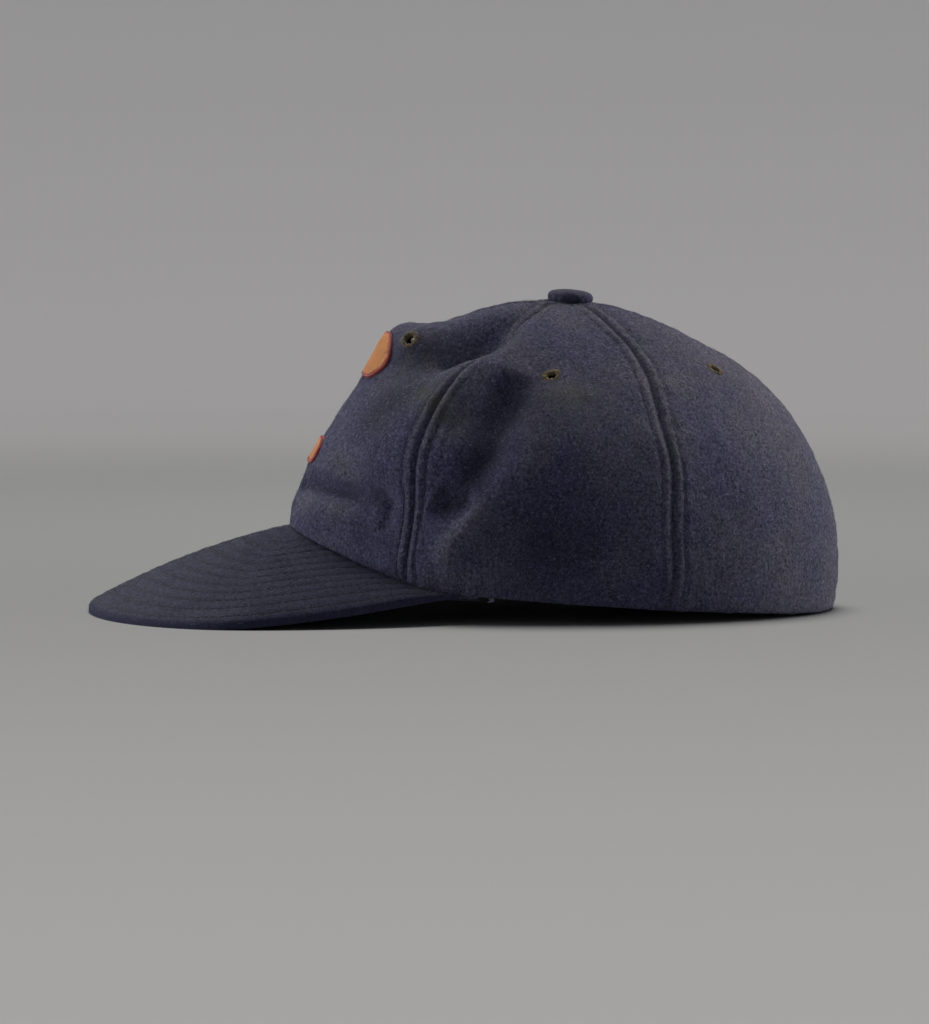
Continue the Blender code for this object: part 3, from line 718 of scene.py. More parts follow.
# %% Melton for the crown and the brim
def melton(name, deep, middle, hair, dust_and_light_colour, violet, slate, stain_and_edge_shade_colour):
    """Mixed fibres: deep and middle ground, lighter hairs, dust and painted light on what is worn or
    lit, stains, and painted shade in hollows and along the brim's edge.
    """
    wool = new_finish(name)
    place = add(wool, "TexCoord").outputs["Object"]
    # tufts of fibre 1 mm across, felting in clouds 5 mm across and dye in clouds 25 mm across
    tufts = add(wool, "TexNoise", {"Vector": place, "Scale": 1050, "Detail": 4, "Roughness": 0.7,
                                   "Distortion": 0.6})
    clouds = add(wool, "TexNoise", {"Vector": place, "Scale": 190, "Detail": 5, "Roughness": 0.65})
    dye = add(wool, "TexNoise", {"Vector": place, "Scale": 42, "Detail": 4, "Roughness": 0.55})
    # hairs are thin ridges of stretched noise, laid in three directions
    hairs = None
    for turn, stretch in (((0.3, 0.2, 0.5), (330, 1350, 1350)), ((0.9, 0.4, 0.2), (1350, 360, 1350)),
                          ((0.1, 0.8, 1.1), (1350, 1350, 340))):
        laid = add(wool, "Mapping", {"Vector": place, "Rotation": turn, "Scale": stretch})
        layer = add(wool, "TexNoise", {"Vector": laid, "Scale": 1.0, "Detail": 1.5, "Distortion": 1.4})
        off = add(wool, "Math", {0: layer, 1: 0.5}, operation="SUBTRACT")
        size = add(wool, "Math", {0: off}, operation="ABSOLUTE")
        ridge = add(wool, "MapRange", {"Value": size, "From Min": 0.0, "From Max": 0.075,
                                       "To Min": 1.0, "To Max": 0.0})
        hairs = ridge if hairs is None else add(wool, "Math", {0: hairs, 1: ridge}, operation="MAXIMUM")
    rubbed, hollow, stained = [add(wool, "Attribute", attribute_name=kept).outputs["Fac"]
                               for kept in ("rubbed", "hollow", "stained")]
    ground = add(wool, "MapRange", {"Value": tufts, "From Min": 0.38, "From Max": 0.62})
    base = add(wool, "Mix", {0: ground, 6: deep, 7: middle}, data_type="RGBA")
    bluer = add(wool, "MapRange", {"Value": clouds, "From Min": 0.42, "From Max": 0.64, "To Max": 0.75})
    blue = add(wool, "Mix", {0: bluer, 6: base, 7: violet}, data_type="RGBA")
    cooler = add(wool, "MapRange", {"Value": clouds, "From Min": 0.5, "From Max": 0.36, "To Max": 0.6})
    cool = add(wool, "Mix", {0: cooler, 6: blue, 7: slate}, data_type="RGBA")
    seen = add(wool, "MapRange", {"Value": tufts, "From Min": 0.36, "From Max": 0.66,
                                  "To Min": 0.05, "To Max": 0.95})
    strands = add(wool, "Math", {0: hairs, 1: seen}, operation="MULTIPLY")
    haired = add(wool, "Mix", {0: strands, 6: cool, 7: hair}, data_type="RGBA")
    dusted = add(wool, "MapRange", {"Value": dye, "From Min": 0.42, "From Max": 0.68, "To Max": 0.4})
    # dust, wear and painted light turn the wool paler and greyer
    worn_and_lit = add(wool, "Math", {0: rubbed, 1: 0.72, 2: dusted}, operation="MULTIPLY_ADD", use_clamp=True)
    dust_and_light_share = add(wool, "Math", {0: worn_and_lit, 1: seen}, operation="MULTIPLY")
    grey = add(wool, "Mix", {0: dust_and_light_share, 6: haired, 7: dust_and_light_colour}, data_type="RGBA")
    # stains, and on the brim the painted shade along its edge
    stain_and_edge_shade_share = add(wool, "Math", {0: stained, 1: 0.75}, operation="MULTIPLY")
    marked = add(wool, "Mix", {0: stain_and_edge_shade_share, 6: grey, 7: stain_and_edge_shade_colour}, data_type="RGBA")
    # painted shade: the hollow attribute darkens the wool towards its deep ground
    painted_shade_share = add(wool, "Math", {0: hollow, 1: 0.65}, operation="MULTIPLY")
    shade = add(wool, "Mix", {0: painted_shade_share, 6: marked, 7: deep}, data_type="RGBA")
    depth = add(wool, "Math", {0: hairs, 1: 0.6, 2: tufts}, operation="MULTIPLY_ADD")
    fine = add(wool, "Bump", {"Height": depth, "Strength": 1.0, "Distance": 0.42 * MM})
    felt = add(wool, "Bump", {"Height": clouds, "Normal": fine, "Strength": 0.7, "Distance": 1.2 * MM})
    return finished(wool, {"Base Color": shade, "Normal": felt, "Roughness": 0.95, "IOR": 1.45,
                           "Specular IOR Level": 0.1, "Sheen Weight": 0.3, "Sheen Roughness": 0.5,
                           "Sheen Tint": "#b2b4c0"})

# %% Two wools, and the brim handed over
crown_wool = melton("felted melton wool", "#0b0e2b", "#2f325c", "#7f7fa4", "#87867e",
                    "#37305f", "#263a50", "#5a5d50")
brim_wool = melton("melton wool over the brim", "#0e0f1e", "#25284a", "#57597e", "#5f6078",
                   "#252039", "#1c2835", "#272449")
hand_over(brim, "brim", "wool", brim_wool)

# %% [markdown]
# ## The inside of the crown
# The wool shows its back here, with a plain woven look.  The spare cloth of each seam is under
# a flat twill tape.  Tape is woven of cotton threads about 0.5 mm apart, which give it fine
# slanting ribs.

# %% Woven cloth
def woven(name, dark, light, spacing, slant, rough, sheen, uneven=0.6):
    """Plain or slanting ribs: threads spacing mm apart, seen as a small height and shade wave."""
    cloth = new_finish(name)
    place = add(cloth, "TexCoord").outputs["Object"]
    laid = add(cloth, "Mapping", {"Vector": place, "Rotation": (0.0, 0.35, slant)})
    # a wave of scale s repeats every 2 pi / (20 s) metres
    scale = 2 * math.pi / (20 * spacing * MM)
    ribs, picks = [add(cloth, "TexWave", {"Vector": laid, "Scale": scale * closer, "Distortion": uneven,
                                          "Detail": 1.0, "Detail Scale": 1.5},
                       bands_direction=way).outputs["Fac"] for way, closer in (("X", 1), ("Y", 0.8))]
    weave = add(cloth, "Math", {0: ribs, 1: picks}, operation="MULTIPLY")
    slub = add(cloth, "TexNoise", {"Vector": place, "Scale": 260, "Detail": 4, "Roughness": 0.6})
    share = add(cloth, "Math", {0: weave, 1: slub}, operation="MULTIPLY")
    level = add(cloth, "MapRange", {"Value": share, "From Min": 0.02, "From Max": 0.32})
    colour = add(cloth, "Mix", {0: level, 6: dark, 7: light}, data_type="RGBA")
    bump = add(cloth, "Bump", {"Height": weave, "Strength": 0.6, "Distance": 0.12 * MM})
    return finished(cloth, {"Base Color": colour, "Normal": bump, "Roughness": rough, "IOR": 1.5,
                            "Specular IOR Level": 0.25, "Sheen Weight": sheen, "Sheen Roughness": 0.5})

# %% The inside's two cloths, and the gores handed over
wool_back = woven("unbrushed wool back", "#212334", "#42435d", 0.8, 0.6, 0.95, 0.2, uneven=3.5)
seam_tape = woven("cotton twill seam tape", "#1d1e29", "#393a4a", 0.6, 0.9, 0.85, 0.15)
for node, piece in gores.items():
    hand_over(piece, node, "wool", crown_wool, wool_back, seam_tape)

# %% [markdown]
# ## Thread
# A lockstitch shows as a row of short, slightly bowed pieces of thread that dive into the cloth
# at both ends.  Hundreds are needed, so each has a few dozen faces: one short curve with a
# round bevel, turned into a mesh at the end.

# %% Turn paths into threads
def thread_mesh(name, paths, thickness, sides=1):
    """Threads along open paths of points, as one mesh."""
    curve = bpy.data.curves.new(name, "CURVE")
    curve.dimensions = "3D"
    curve.bevel_depth = thickness / 2 * MM
    curve.bevel_resolution = sides
    curve.use_fill_caps = True
    for path in paths:
        spline = curve.splines.new("POLY")
        spline.points.add(len(path) - 1)
        spline.points.foreach_set("co", np.column_stack([path, np.ones(len(path))]).ravel())
    piece = bpy.data.objects.new(name, curve)
    bpy.context.scene.collection.objects.link(piece)
    only(piece)
    bpy.ops.object.convert(target="MESH")
    bpy.ops.object.shade_smooth()
    return bpy.context.view_layer.objects.active

# %% Cut lines into stitches
def stitches(lines, cloth, pitch=2.9, length=2.45, sink=0.3, rise=0.14):
    """Cut lines on a cloth into stitches, each a short bowed path."""
    paths = []
    for line in lines:
        run = np.concatenate([[0], np.cumsum(np.linalg.norm(np.diff(line, axis=0), axis=1))]) / MM
        for start in np.arange(0.3 * pitch, run[-1] - length, pitch):
            marks = start + length * np.array((0.0, 0.16, 0.5, 0.84, 1.0))
            path = []
            for k, lift in enumerate((-sink, 0.7 * rise, rise, 0.7 * rise, -sink)):
                point = Vector([np.interp(marks[k], run, line[:, axis]) for axis in range(3)])
                place, normal = cloth.find_nearest(point)[:2]
                path.append(place + normal * lift * MM)
            paths.append(path)
    return paths


def beside(line, side, cloth):
    """A line moved sideways over the cloth by side mm."""
    ahead = unit(np.gradient(line, axis=0))
    across = unit(np.cross(ahead, out_of_dome(line)))
    return np.array([cloth.find_nearest(p)[0][:] for p in line + across * side * MM])

# %% Sewing thread
def sewing_thread(name, dark, light, rough):
    """Three-ply thread: the plies cross it at a slant every 0.6 mm."""
    thread = new_finish(name)
    place = add(thread, "TexCoord").outputs["Object"]
    ply = add(thread, "TexNoise", {"Vector": place, "Scale": 1700, "Detail": 2, "Roughness": 0.5})
    soil = add(thread, "TexNoise", {"Vector": place, "Scale": 90, "Detail": 3, "Roughness": 0.6})
    share = add(thread, "Math", {0: ply, 1: soil}, operation="ADD")
    level = add(thread, "MapRange", {"Value": share, "From Min": 0.75, "From Max": 1.25})
    colour = add(thread, "Mix", {0: level, 6: dark, 7: light}, data_type="RGBA")
    bump = add(thread, "Bump", {"Height": ply, "Strength": 0.5, "Distance": 0.1 * MM})
    return finished(thread, {"Base Color": colour, "Normal": bump, "Roughness": rough, "IOR": 1.53,
                             "Specular IOR Level": 0.4, "Sheen Weight": 0.2, "Sheen Roughness": 0.4})

# %% Topstitch the seams
navy_thread = sewing_thread("navy cotton sewing thread", "#1d1d2b", "#464665", 0.7)
rows = []
for line in seam_lines.values():
    line = line[(from_top(line) > 12) & (over_rim(line) > 3.0)]
    line = line + wander(line, from_hem(line)[1])
    rows += [beside(line, TOPSTITCH, crown_cloth), beside(line, -TOPSTITCH, crown_cloth)]
crown_stitching = thread_mesh("crown_topstitching", stitches(rows, crown_cloth, rise=0.05), 0.36)
hand_over(crown_stitching, None, "wool", navy_thread)

# %% [markdown]
# ## The joint of brim and crown
# The brim's cover is turned up behind the crown's hem and sewn there.  From outside only its
# fold shows, as a dark roll deep in the joint.  It is one round roll that follows the lowest
# edge of the crown's outer face, a little inside it.

# %% Find the crown's lowest edge
used = np.unique(np.array(crown_faces))
low_points = np.array(crown_points)[used]
low_points = low_points[(low_points[:, 2] < 45 * MM) & (low_points[:, 1] < 14 * MM)]
low_points = low_points[from_hem(low_points)[1] < 3]
around = np.arctan2(low_points[:, 0], -(low_points - dome_middle)[:, 1])
print(len(low_points), "points near the crown's lowest edge")

# %% Lay the fold in the joint
FOLD_THICKNESS = 2.2     # mm across the roll
fold = []
for turn in np.linspace(around.min() + 0.01, around.max() - 0.01, 160):
    near = np.flatnonzero(np.abs(around - turn) < 0.025)
    if len(near):
        lowest = low_points[near[low_points[near, 2].argmin()]]
        inside = lowest - out_of_dome(lowest[None])[0] * 1.6 * MM
        place = onto_brim(inside, 3)
        if place is not None:
            fold.append((inside[0], inside[1], place.z + 0.7 * MM))
fold = smooth(evenly(fold, 1.2 * MM), 6)
hand_over(thread_mesh("brim_seam_fold", [fold], FOLD_THICKNESS, sides=3), None, "wool", brim_wool)
print("fold from", (fold[0] / MM).round(1), "to", (fold[-1] / MM).round(1))

# %% [markdown]
# ## The brim's underside
# The underside is faced with green cotton sateen, chosen because it glares less.  The same
# rows of stitches come through it.  Sateen is smooth, with threads about 0.25 mm apart, and is
# drawn at 0.5 mm so that its lines can show.

# %% Face the underside
underbrim = cloth_from("underbrim", "underbrim_facing", 3)
quilt(underbrim, 0.12, 0.05)
sateen = woven("green cotton sateen", "#1d4034", "#3a7058", 0.5, 0.4, 0.7, 0.25)
hand_over(underbrim, "underbrim", "underbrim_cloth", sateen)

# %% Find the rows on one side
def row_lines(cloth, gap, upward):
    """The lines on one side of the brim that lie gap mm from its outer edge."""
    ahead = unit(np.gradient(edge_line, axis=0))
    inward = unit(np.column_stack([-ahead[:, 1], ahead[:, 0], np.zeros(len(ahead))]))
    high = Vector((0, 0, 0.2 if upward else -0.2))
    lines, line = [], []
    for i, point in enumerate(edge_line):
        reach = gap
        for _ in range(5):                    # the edge slopes, so the reach is corrected in steps
            start = Vector(point + inward[i] * reach * MM)
            start.z = high.z
            hit = cloth.ray_cast(start, -high.normalized())[0]
            if hit is None:
                break
            _, nearest, distance = edge_tree.find(hit)
            reach += gap - distance / MM
        if hit and abs(distance / MM - gap) < 0.15 and abs(nearest - i) < 10 \
                and crown_cloth.find_nearest(hit)[3] > 1.6 * MM:
            line.append(hit[:])
        else:
            lines.append(line)
            line = []
    return [evenly(one, LINE_STEP * MM) for one in lines + [line] if len(one) > 12]

# %% Sew the rows through both sides
brim_thread = sewing_thread("dark navy cotton sewing thread", "#161621", "#313346", 0.8)
green_thread = sewing_thread("green cotton sewing thread", "#183327", "#375a47", 0.7)
for piece, name, upward, thread in ((brim, "brim_row_stitching", True, brim_thread),
                                    (underbrim, "underbrim_row_stitching", False, green_thread)):
    side = tree_of(piece, [p.normal.z * (1 if upward else -1) > 0.2 for p in piece.data.polygons])
    lines = [line for row in ROWS for line in row_lines(side, row, upward)]
    paths = stitches(lines, side, rise=0.02)
    print(name, len(lines), "rows", len(paths), "stitches")
    hand_over(thread_mesh(name, paths, 0.36), None, "wool" if upward else "underbrim_cloth", thread)

# %% [markdown]
# ## The sweatband
# A strip of thin cream leather is sewn round the inside of the rim and stands up against the
# crown.  Its grain is a fine net of cells about 0.8 mm across, pressed flatter and darker where
# the brow has rubbed it.  The stitches that hold it at the rim lie in the fold and aren't made.

# %% Leather
def leather(name, light, dark, soiled):
    hide = new_finish(name)
    place = add(hide, "TexCoord").outputs["Object"]
    cells = add(hide, "TexVoronoi", {"Vector": place, "Scale": 1150}, feature="DISTANCE_TO_EDGE")
    pores = add(hide, "TexNoise", {"Vector": place, "Scale": 2600, "Detail": 2, "Roughness": 0.5})
    soil = add(hide, "TexNoise", {"Vector": place, "Scale": 45, "Detail": 5, "Roughness": 0.62})
    valley = add(hide, "MapRange", {"Value": cells, "From Max": 0.12})
    grain = add(hide, "Mix", {0: valley, 6: dark, 7: light}, data_type="RGBA")
    dirty = add(hide, "MapRange", {"Value": soil, "From Min": 0.45, "From Max": 0.7, "To Max": 0.7})
    colour = add(hide, "Mix", {0: dirty, 6: grain, 7: soiled}, data_type="RGBA")
    height = add(hide, "Math", {0: pores, 1: 0.4, 2: valley}, operation="MULTIPLY_ADD")
    bump = add(hide, "Bump", {"Height": height, "Strength": 0.4, "Distance": 0.1 * MM})
    rough = add(hide, "MapRange", {"Value": soil, "To Min": 0.42, "To Max": 0.68})
    return finished(hide, {"Base Color": colour, "Normal": bump, "Roughness": rough, "IOR": 1.5,
                           "Specular IOR Level": 0.35})

# %% Shape the band
sweatband = cloth_from("sweatband", "sweatband_strip", 2)
points, normal = places(sweatband), facing(sweatband)
height = over_rim(points)
ripple = 0.35 * bumps(points, 22) + 0.12 * bumps(points * np.array((1, 1, 0.4)), 8)
out = out_of_dome(points)
ripple = ripple * ease(3, 10, height) * ease(0.3, 0.8, np.abs((normal * out).sum(axis=1)))
points = points + normal * ripple[:, None] * MM
points = points + out * np.minimum(1.15 * creasing(points + out * 3 * MM), 0)[:, None] * MM
# the edge has slipped 1.2 mm down for 5 mm behind the brim's left end
along = points[:, 1] / MM
slip = ease(-3.6, -2.2, along) * (1 - ease(1.4, 3.0, along)) * (1 - ease(2, 8, over_rim(points)))
slip = slip * (points[:, 0] > 0)
points[:, 2] -= 1.15 * MM * slip
points[:, 2] = np.maximum(points[:, 2], 0.2 * MM)
move_to(sweatband, points)
print("slipped", int((slip > 0.5).sum()), "of", len(points), "points")
hand_over(sweatband, "sweatband", "sweatband_leather",
          leather("cream sheepskin sweatband", "#d9cbb0", "#a8977a", "#8d7a5e"))

# %% [markdown]
# ## The button
# The button is a metal disc covered with a round of the same wool, gathered in underneath.
# A profile is drawn once and spun round its axis, and small pleats are pressed into the side
# where the cloth is drawn in.

# %% Spin a profile
def spun(name, profile, steps, inward=False):
    """A profile of (radius, height) points in mm, spun round Z, facing outward or inward."""
    points = [(radius * MM, 0, height * MM) for radius, height in profile]
    piece = new_mesh(name, points, [(i, i + 1) for i in range(len(points) - 1)])
    only(piece)
    bpy.ops.object.mode_set(mode="EDIT")
    bpy.ops.mesh.select_all(action="SELECT")
    bpy.ops.mesh.spin(steps=steps, angle=2 * math.pi, center=(0, 0, 0), axis=(0, 0, 1))
    bpy.ops.mesh.select_all(action="SELECT")
    bpy.ops.mesh.remove_doubles(threshold=0.01 * MM)
    bpy.ops.mesh.normals_make_consistent(inside=inward)
    bpy.ops.object.mode_set(mode="OBJECT")
    bpy.ops.object.shade_smooth()
    return piece

# %% Find a round node's seat
def seat_of(node):
    """A round node's middle, two directions across it and its axis out of the head, and its top."""
    points = solid_corners(node)
    middle = points.mean(axis=0)
    axis = np.linalg.svd(points - middle, full_matrices=False)[2][2]
    axis = axis * np.sign(axis @ out_of_dome(middle[None])[0])
    across = unit(np.cross(axis, (0.0, 1.0, 0.0)))
    return middle, np.array((across, np.cross(axis, across), axis)), ((points - middle) @ axis).max()

# %% Spin the button and gather its cloth
BUTTON_PROFILE = ((0, -6.0), (1.5, -6.0), (1.8, -4.2), (4.5, -4.2), (6.8, -4.9), (7.7, -4.7),
                  (8.25, -3.7), (8.25, -2.5), (7.8, -1.5), (6.7, -0.8), (4.8, -0.3), (2.6, -0.06),
                  (0, 0))
button = spun("covered_button", BUTTON_PROFILE, 40)
rounding = button.modifiers.new("rounding", "SUBSURF")
rounding.levels = rounding.render_levels = 2
only(button)
bpy.ops.object.modifier_apply(modifier="rounding")
middle, axes, top = seat_of("button")
points = places(button)
turn = np.arctan2(points[:, 1], points[:, 0])
radius = np.hypot(points[:, 0], points[:, 1]) / MM
gathered = bell(points[:, 2] / MM, -4.2, 1.2) * ease(5.5, 7.5, radius)
pleat = -0.28 * gathered * (0.5 + 0.5 * np.cos(15 * turn + 1.3 * np.sin(3 * turn)))
lumps = 0.18 * bumps(points, 6) * ease(-4, -2, points[:, 2] / MM)
points = points + facing(button) * (pleat + lumps)[:, None] * MM
move_to(button, middle + axes[2] * top + points @ axes)
# wear and painted light: the button's top is paler; painted shade where the cloth gathers under its
# edge, over a darker tone all round
store(button, "rubbed", 0.35 * ease(-3.0, -0.8, points[:, 2] / MM) - 0.2)
store(button, "hollow", 0.3 + 0.5 * gathered)
hand_over(button, "button", "wool", crown_wool)

# %% [markdown]
# ## The eyelets
# Each gore has one sewn eyelet: a small hole bound with tan buttonhole thread.  The thread
# goes over a padded edge in close strands side by side.  One strand and one ring are made at
# the origin, copied round, and each copy of the eyelet is laid on the cloth round its hole.

# %% One padded ring and one strand
STRANDS = 25
# radius and height in mm of the padded ring, and of a strand that goes over it
EYELET_PAD = ((2.1, -1.9), (1.96, -0.8), (2.0, -0.1), (2.25, 0.14), (2.7, 0.12), (3.0, -0.1),
              (3.1, -0.5), (2.1, -1.9))
STRAND = ((1.96, -1.7), (1.84, -0.7), (1.9, 0.0), (2.2, 0.32), (2.65, 0.34), (3.1, 0.14),
          (3.4, -0.08), (3.45, -0.4))
pad = spun("eyelet_pad", EYELET_PAD, 36)
pad_points, pad_faces = places(pad), [tuple(p.vertices) for p in pad.data.polygons]
strand = thread_mesh("eyelet_strand", [[Vector((r * MM, 0, h * MM)) for r, h in STRAND]], 0.3)
strand_points, strand_faces = places(strand), [tuple(p.vertices) for p in strand.data.polygons]
bpy.data.objects.remove(pad)
bpy.data.objects.remove(strand)

# %% Lay an eyelet on the cloth
chance = np.random.default_rng(7)
tan_thread = sewing_thread("tan buttonhole thread", "#4a4232", "#a8987a", 0.8)
# the padding lines the hole and shows between the strands, nearly black
padding = sewing_thread("soiled cotton padding thread", "#1c1a17", "#4c4534", 0.9)


def lay_eyelet(node, name):
    middle, axes = seat_of(node)[:2]
    points, faces = [pad_points], list(pad_faces)
    for k in range(STRANDS):
        turn = 2 * math.pi * (k + chance.uniform(-0.22, 0.22)) / STRANDS
        spin = np.array(((math.cos(turn), math.sin(turn), 0), (-math.sin(turn), math.cos(turn), 0),
                         (0, 0, 1)))
        first = sum(len(p) for p in points)
        longer = np.array((chance.uniform(0.92, 1.08), 1, chance.uniform(0.8, 1.2)))
        points.append((strand_points * longer) @ spin)
        faces += [tuple(first + i for i in face) for face in strand_faces]
    points = np.vstack(points)
    hits = []
    for point in points:
        flat = middle + point[0] * axes[0] + point[1] * axes[1]
        hit = crown_cloth.ray_cast(Vector(flat + axes[2] * 6 * MM), Vector(-axes[2]), 10 * MM)[0]
        hits.append(np.nan if hit is None else (np.array(hit) - middle) @ axes[2])
    hits = np.array(hits)
    hits[np.isnan(hits)] = np.nanmean(hits)
    points[:, 2] += hits
    eyelet = new_mesh(name, middle + points @ axes, faces=faces)
    only(eyelet)
    bpy.ops.object.shade_smooth()
    hand_over(eyelet, node, "eyelet_thread", tan_thread, padding)
    for face in eyelet.data.polygons[:len(pad_faces)]:
        face.material_index = 1

# %% Lay all six eyelets
for node in sorted(n for n in frame["nodes"] if n.startswith("eyelet_")):
    lay_eyelet(node, node.replace("eyelet_", "") + "_sewn_eyelet")

# %% [markdown]
# ## Embroidered stripes
# Two plain stripes are worked on the front in orange-gold satin stitch with a red overcast
# border.  Satin stitch is a close row of threads, each from edge to edge, with staggered
# needle points where the run is long.  The threads are laid as real geometry over the padded
# CAD shape, and the border's short strands cross the edge all the way round.

# %% Embroidery thread
gold_thread = sewing_thread("orange-gold rayon embroidery thread", "#a8612a", "#dd9a4e", 0.45)
red_thread = sewing_thread("red rayon embroidery thread", "#6e1a1e", "#a8342f", 0.45)
THREAD_GAP = 0.42            # mm: the threads lie side by side
NEEDLE_STEP = 1.1            # mm between the needle points of a long stitch
# a strand of the border in mm: inward over the edge, and up
BORDER_STRAND = ((-0.55, -0.9), (-0.5, -0.35), (-0.2, 0.12), (0.5, 0.3), (1.2, 0.28), (1.8, 0.0))

# %% Lay a stripe's threads
def lay_stripe(node, name):
    base = cloth_from(node, name, 2)
    points = places(base)
    for i, point in enumerate(points):                   # the padding stands 0.6 mm over the wool
        place, out = crown_cloth.find_nearest(point)[:2]
        over = (Vector(point) - place).dot(out) / MM
        points[i] = point - np.array(out) * max(over - 0.6, 0) * MM
    move_to(base, points)
    normal = facing(base)
    middle = points.mean(axis=0)
    axis = out_of_dome(middle[None])[0]
    axes = np.array((sideways, np.cross(axis, sideways), axis))
    front = (normal @ axis) > 0.55
    flat = (points - middle) @ axes.T
    side = tree_of(base, [all(front[i] for i in p.vertices) for p in base.data.polygons])
    # the outline of the front face, by angle round the middle
    angle = np.arctan2(flat[:, 1] / np.ptp(flat[:, 1]), flat[:, 0] / np.ptp(flat[:, 0]))
    reach = np.hypot(flat[:, 1] / np.ptp(flat[:, 1]), flat[:, 0] / np.ptp(flat[:, 0]))
    outline = []
    for step in np.linspace(-math.pi, math.pi, 121)[:-1]:
        near = np.flatnonzero(np.abs((angle - step + math.pi) % (2 * math.pi) - math.pi) < 0.06)
        outline.append(points[near[reach[near].argmax()]])
    ring = evenly(smooth(np.array(outline + outline[:1]), 3), THREAD_GAP * MM)
    fill = []
    for level in np.arange(flat[:, 1].min() / MM + 0.6, flat[:, 1].max() / MM - 0.4, THREAD_GAP):
        run = []
        for across in np.arange(flat[:, 0].min() / MM, flat[:, 0].max() / MM + 0.01, NEEDLE_STEP):
            start = middle + across * MM * axes[0] + level * MM * axes[1] + axis * 15 * MM
            hit, out = side.ray_cast(Vector(start), Vector(-axis), 40 * MM)[:2]
            if hit is None:
                continue
            dip = (round(level / THREAD_GAP) * 2 + round(across / NEEDLE_STEP)) % 5 == 0
            run.append(hit + out * (0.02 if dip else 0.2) * MM)
        if len(run) > 2:
            fill.append(run)
    border = []
    for i in range(len(ring) - 1):
        inward = unit(middle - ring[i] - axis * ((middle - ring[i]) @ axis))
        border.append([Vector(ring[i] + (inward * across + axis * lift) * MM)
                       for across, lift in BORDER_STRAND])
    hand_over(base, node, "embroidery", gold_thread)
    hand_over(thread_mesh(name + "_satin", fill, THREAD_GAP), None, "embroidery", gold_thread)
    hand_over(thread_mesh(name + "_border", border, THREAD_GAP), None, "embroidery", red_thread)

# %% Lay both stripes
lay_stripe("upper_stripe", "upper_gold_stripe")
lay_stripe("lower_stripe", "lower_gold_stripe")

# %% [markdown]
# ## Lint and loose fibres
# Brushed wool has a nap, so short fibres stand out of it all over and blur its outline.  Each
# is a three-sided spike of seven corners, rooted in the cloth and leaning over it.  A few
# hundred longer hairs lie loose on them, with some pale lint.  They are drawn 0.05 to 0.08 mm
# thick, some three times their real thickness, so that they can be seen at all.

# %% Loose fibres
def fibres(name, cloth, starts, shortest, longest, thickness, seed):
    """Curved hairs that lie on a cloth, one from near each start."""
    chance = np.random.default_rng(seed)
    paths = []
    for start in starts:
        point, normal = cloth.find_nearest(start)[:2]
        heading = Vector(chance.normal(size=3))
        heading = (heading - normal * heading.dot(normal)).normalized()
        length = chance.uniform(shortest, longest)
        bend = chance.uniform(-1.6, 1.6)
        path = []
        for k in range(6):
            hit, normal = cloth.find_nearest(point)[:2]
            lift = 0.08 + 0.4 * math.sin(math.pi * k / 5) * chance.uniform(0.2, 1)
            path.append(hit + normal * lift * MM)
            heading = (Matrix.Rotation(bend / 5, 3, normal) @ heading).normalized()
            point = hit + heading * length / 5 * MM
        paths.append(path)
    return thread_mesh(name, paths, thickness, sides=0)

# %% Nap
def nap(name, points, faces, count, seed):
    """Short fibres of three thin sides, rooted in the cloth and lying over."""
    chance = np.random.default_rng(seed)
    corners = np.asarray(points)[np.asarray(faces)]
    cross = np.cross(corners[:, 2] - corners[:, 0], corners[:, 3] - corners[:, 1])
    area = np.linalg.norm(cross, axis=1)
    chosen = chance.choice(len(faces), count, p=area / area.sum())
    up, four = unit(cross)[chosen], corners[chosen]
    u, v = chance.random((2, count, 1))
    root = ((four[:, 0] * (1 - u) + four[:, 1] * u) * (1 - v)
            + (four[:, 3] * (1 - u) + four[:, 2] * u) * v)
    along = chance.normal(size=(count, 3))
    along = unit(along - (along * up).sum(axis=1)[:, None] * up)
    length = chance.uniform(0.6, 1.7, (count, 1)) * MM
    lift = chance.uniform(0.04, 0.3, (count, 1))
    aside = np.cross(along, up)
    rings = []
    for share, thick in ((0.0, 0.035), (0.5, 0.03)):
        centre = root + along * length * share + up * (length * lift * 1.6 * share + 0.02 * MM)
        rings += [centre + (up * math.cos(turn) + aside * math.sin(turn)) * thick * MM
                  for turn in (0.0, 2.1, 4.2)]
    tip = (root + along * length + up * length * lift
           + aside * length * chance.uniform(-0.3, 0.3, (count, 1)))
    everything = np.stack(rings + [tip], axis=1).reshape(-1, 3)
    everything[:, 2] = np.maximum(everything[:, 2], 0.0)             # none goes through the floor
    first = 7 * np.arange(count)[:, None]
    sides = [(k, (k + 1) % 3, 3 + (k + 1) % 3, 3 + k) for k in range(3)]
    ends = [(3 + k, 3 + (k + 1) % 3, 6) for k in range(3)]
    faces = np.vstack([first + np.array(side) for side in sides]).tolist()
    faces += np.vstack([first + np.array(end) for end in ends]).tolist()
    piece = new_mesh(name, everything, faces=faces)
    store(piece, "shade", np.repeat(chance.random(count), 7))
    only(piece)
    bpy.ops.object.shade_smooth()
    return piece

# %% Grow the nap
def fibre_wool(name, dark, light):
    """Single dyed fibres: each has one shade between dark and light, and a slight shine."""
    fibre = new_finish(name)
    shade = add(fibre, "Attribute", attribute_name="shade").outputs["Fac"]
    share = add(fibre, "Math", {0: shade, 1: 2.2}, operation="POWER")
    colour = add(fibre, "Mix", {0: share, 6: dark, 7: light}, data_type="RGBA")
    return finished(fibre, {"Base Color": colour, "Roughness": 0.75, "IOR": 1.5,
                            "Specular IOR Level": 0.3})


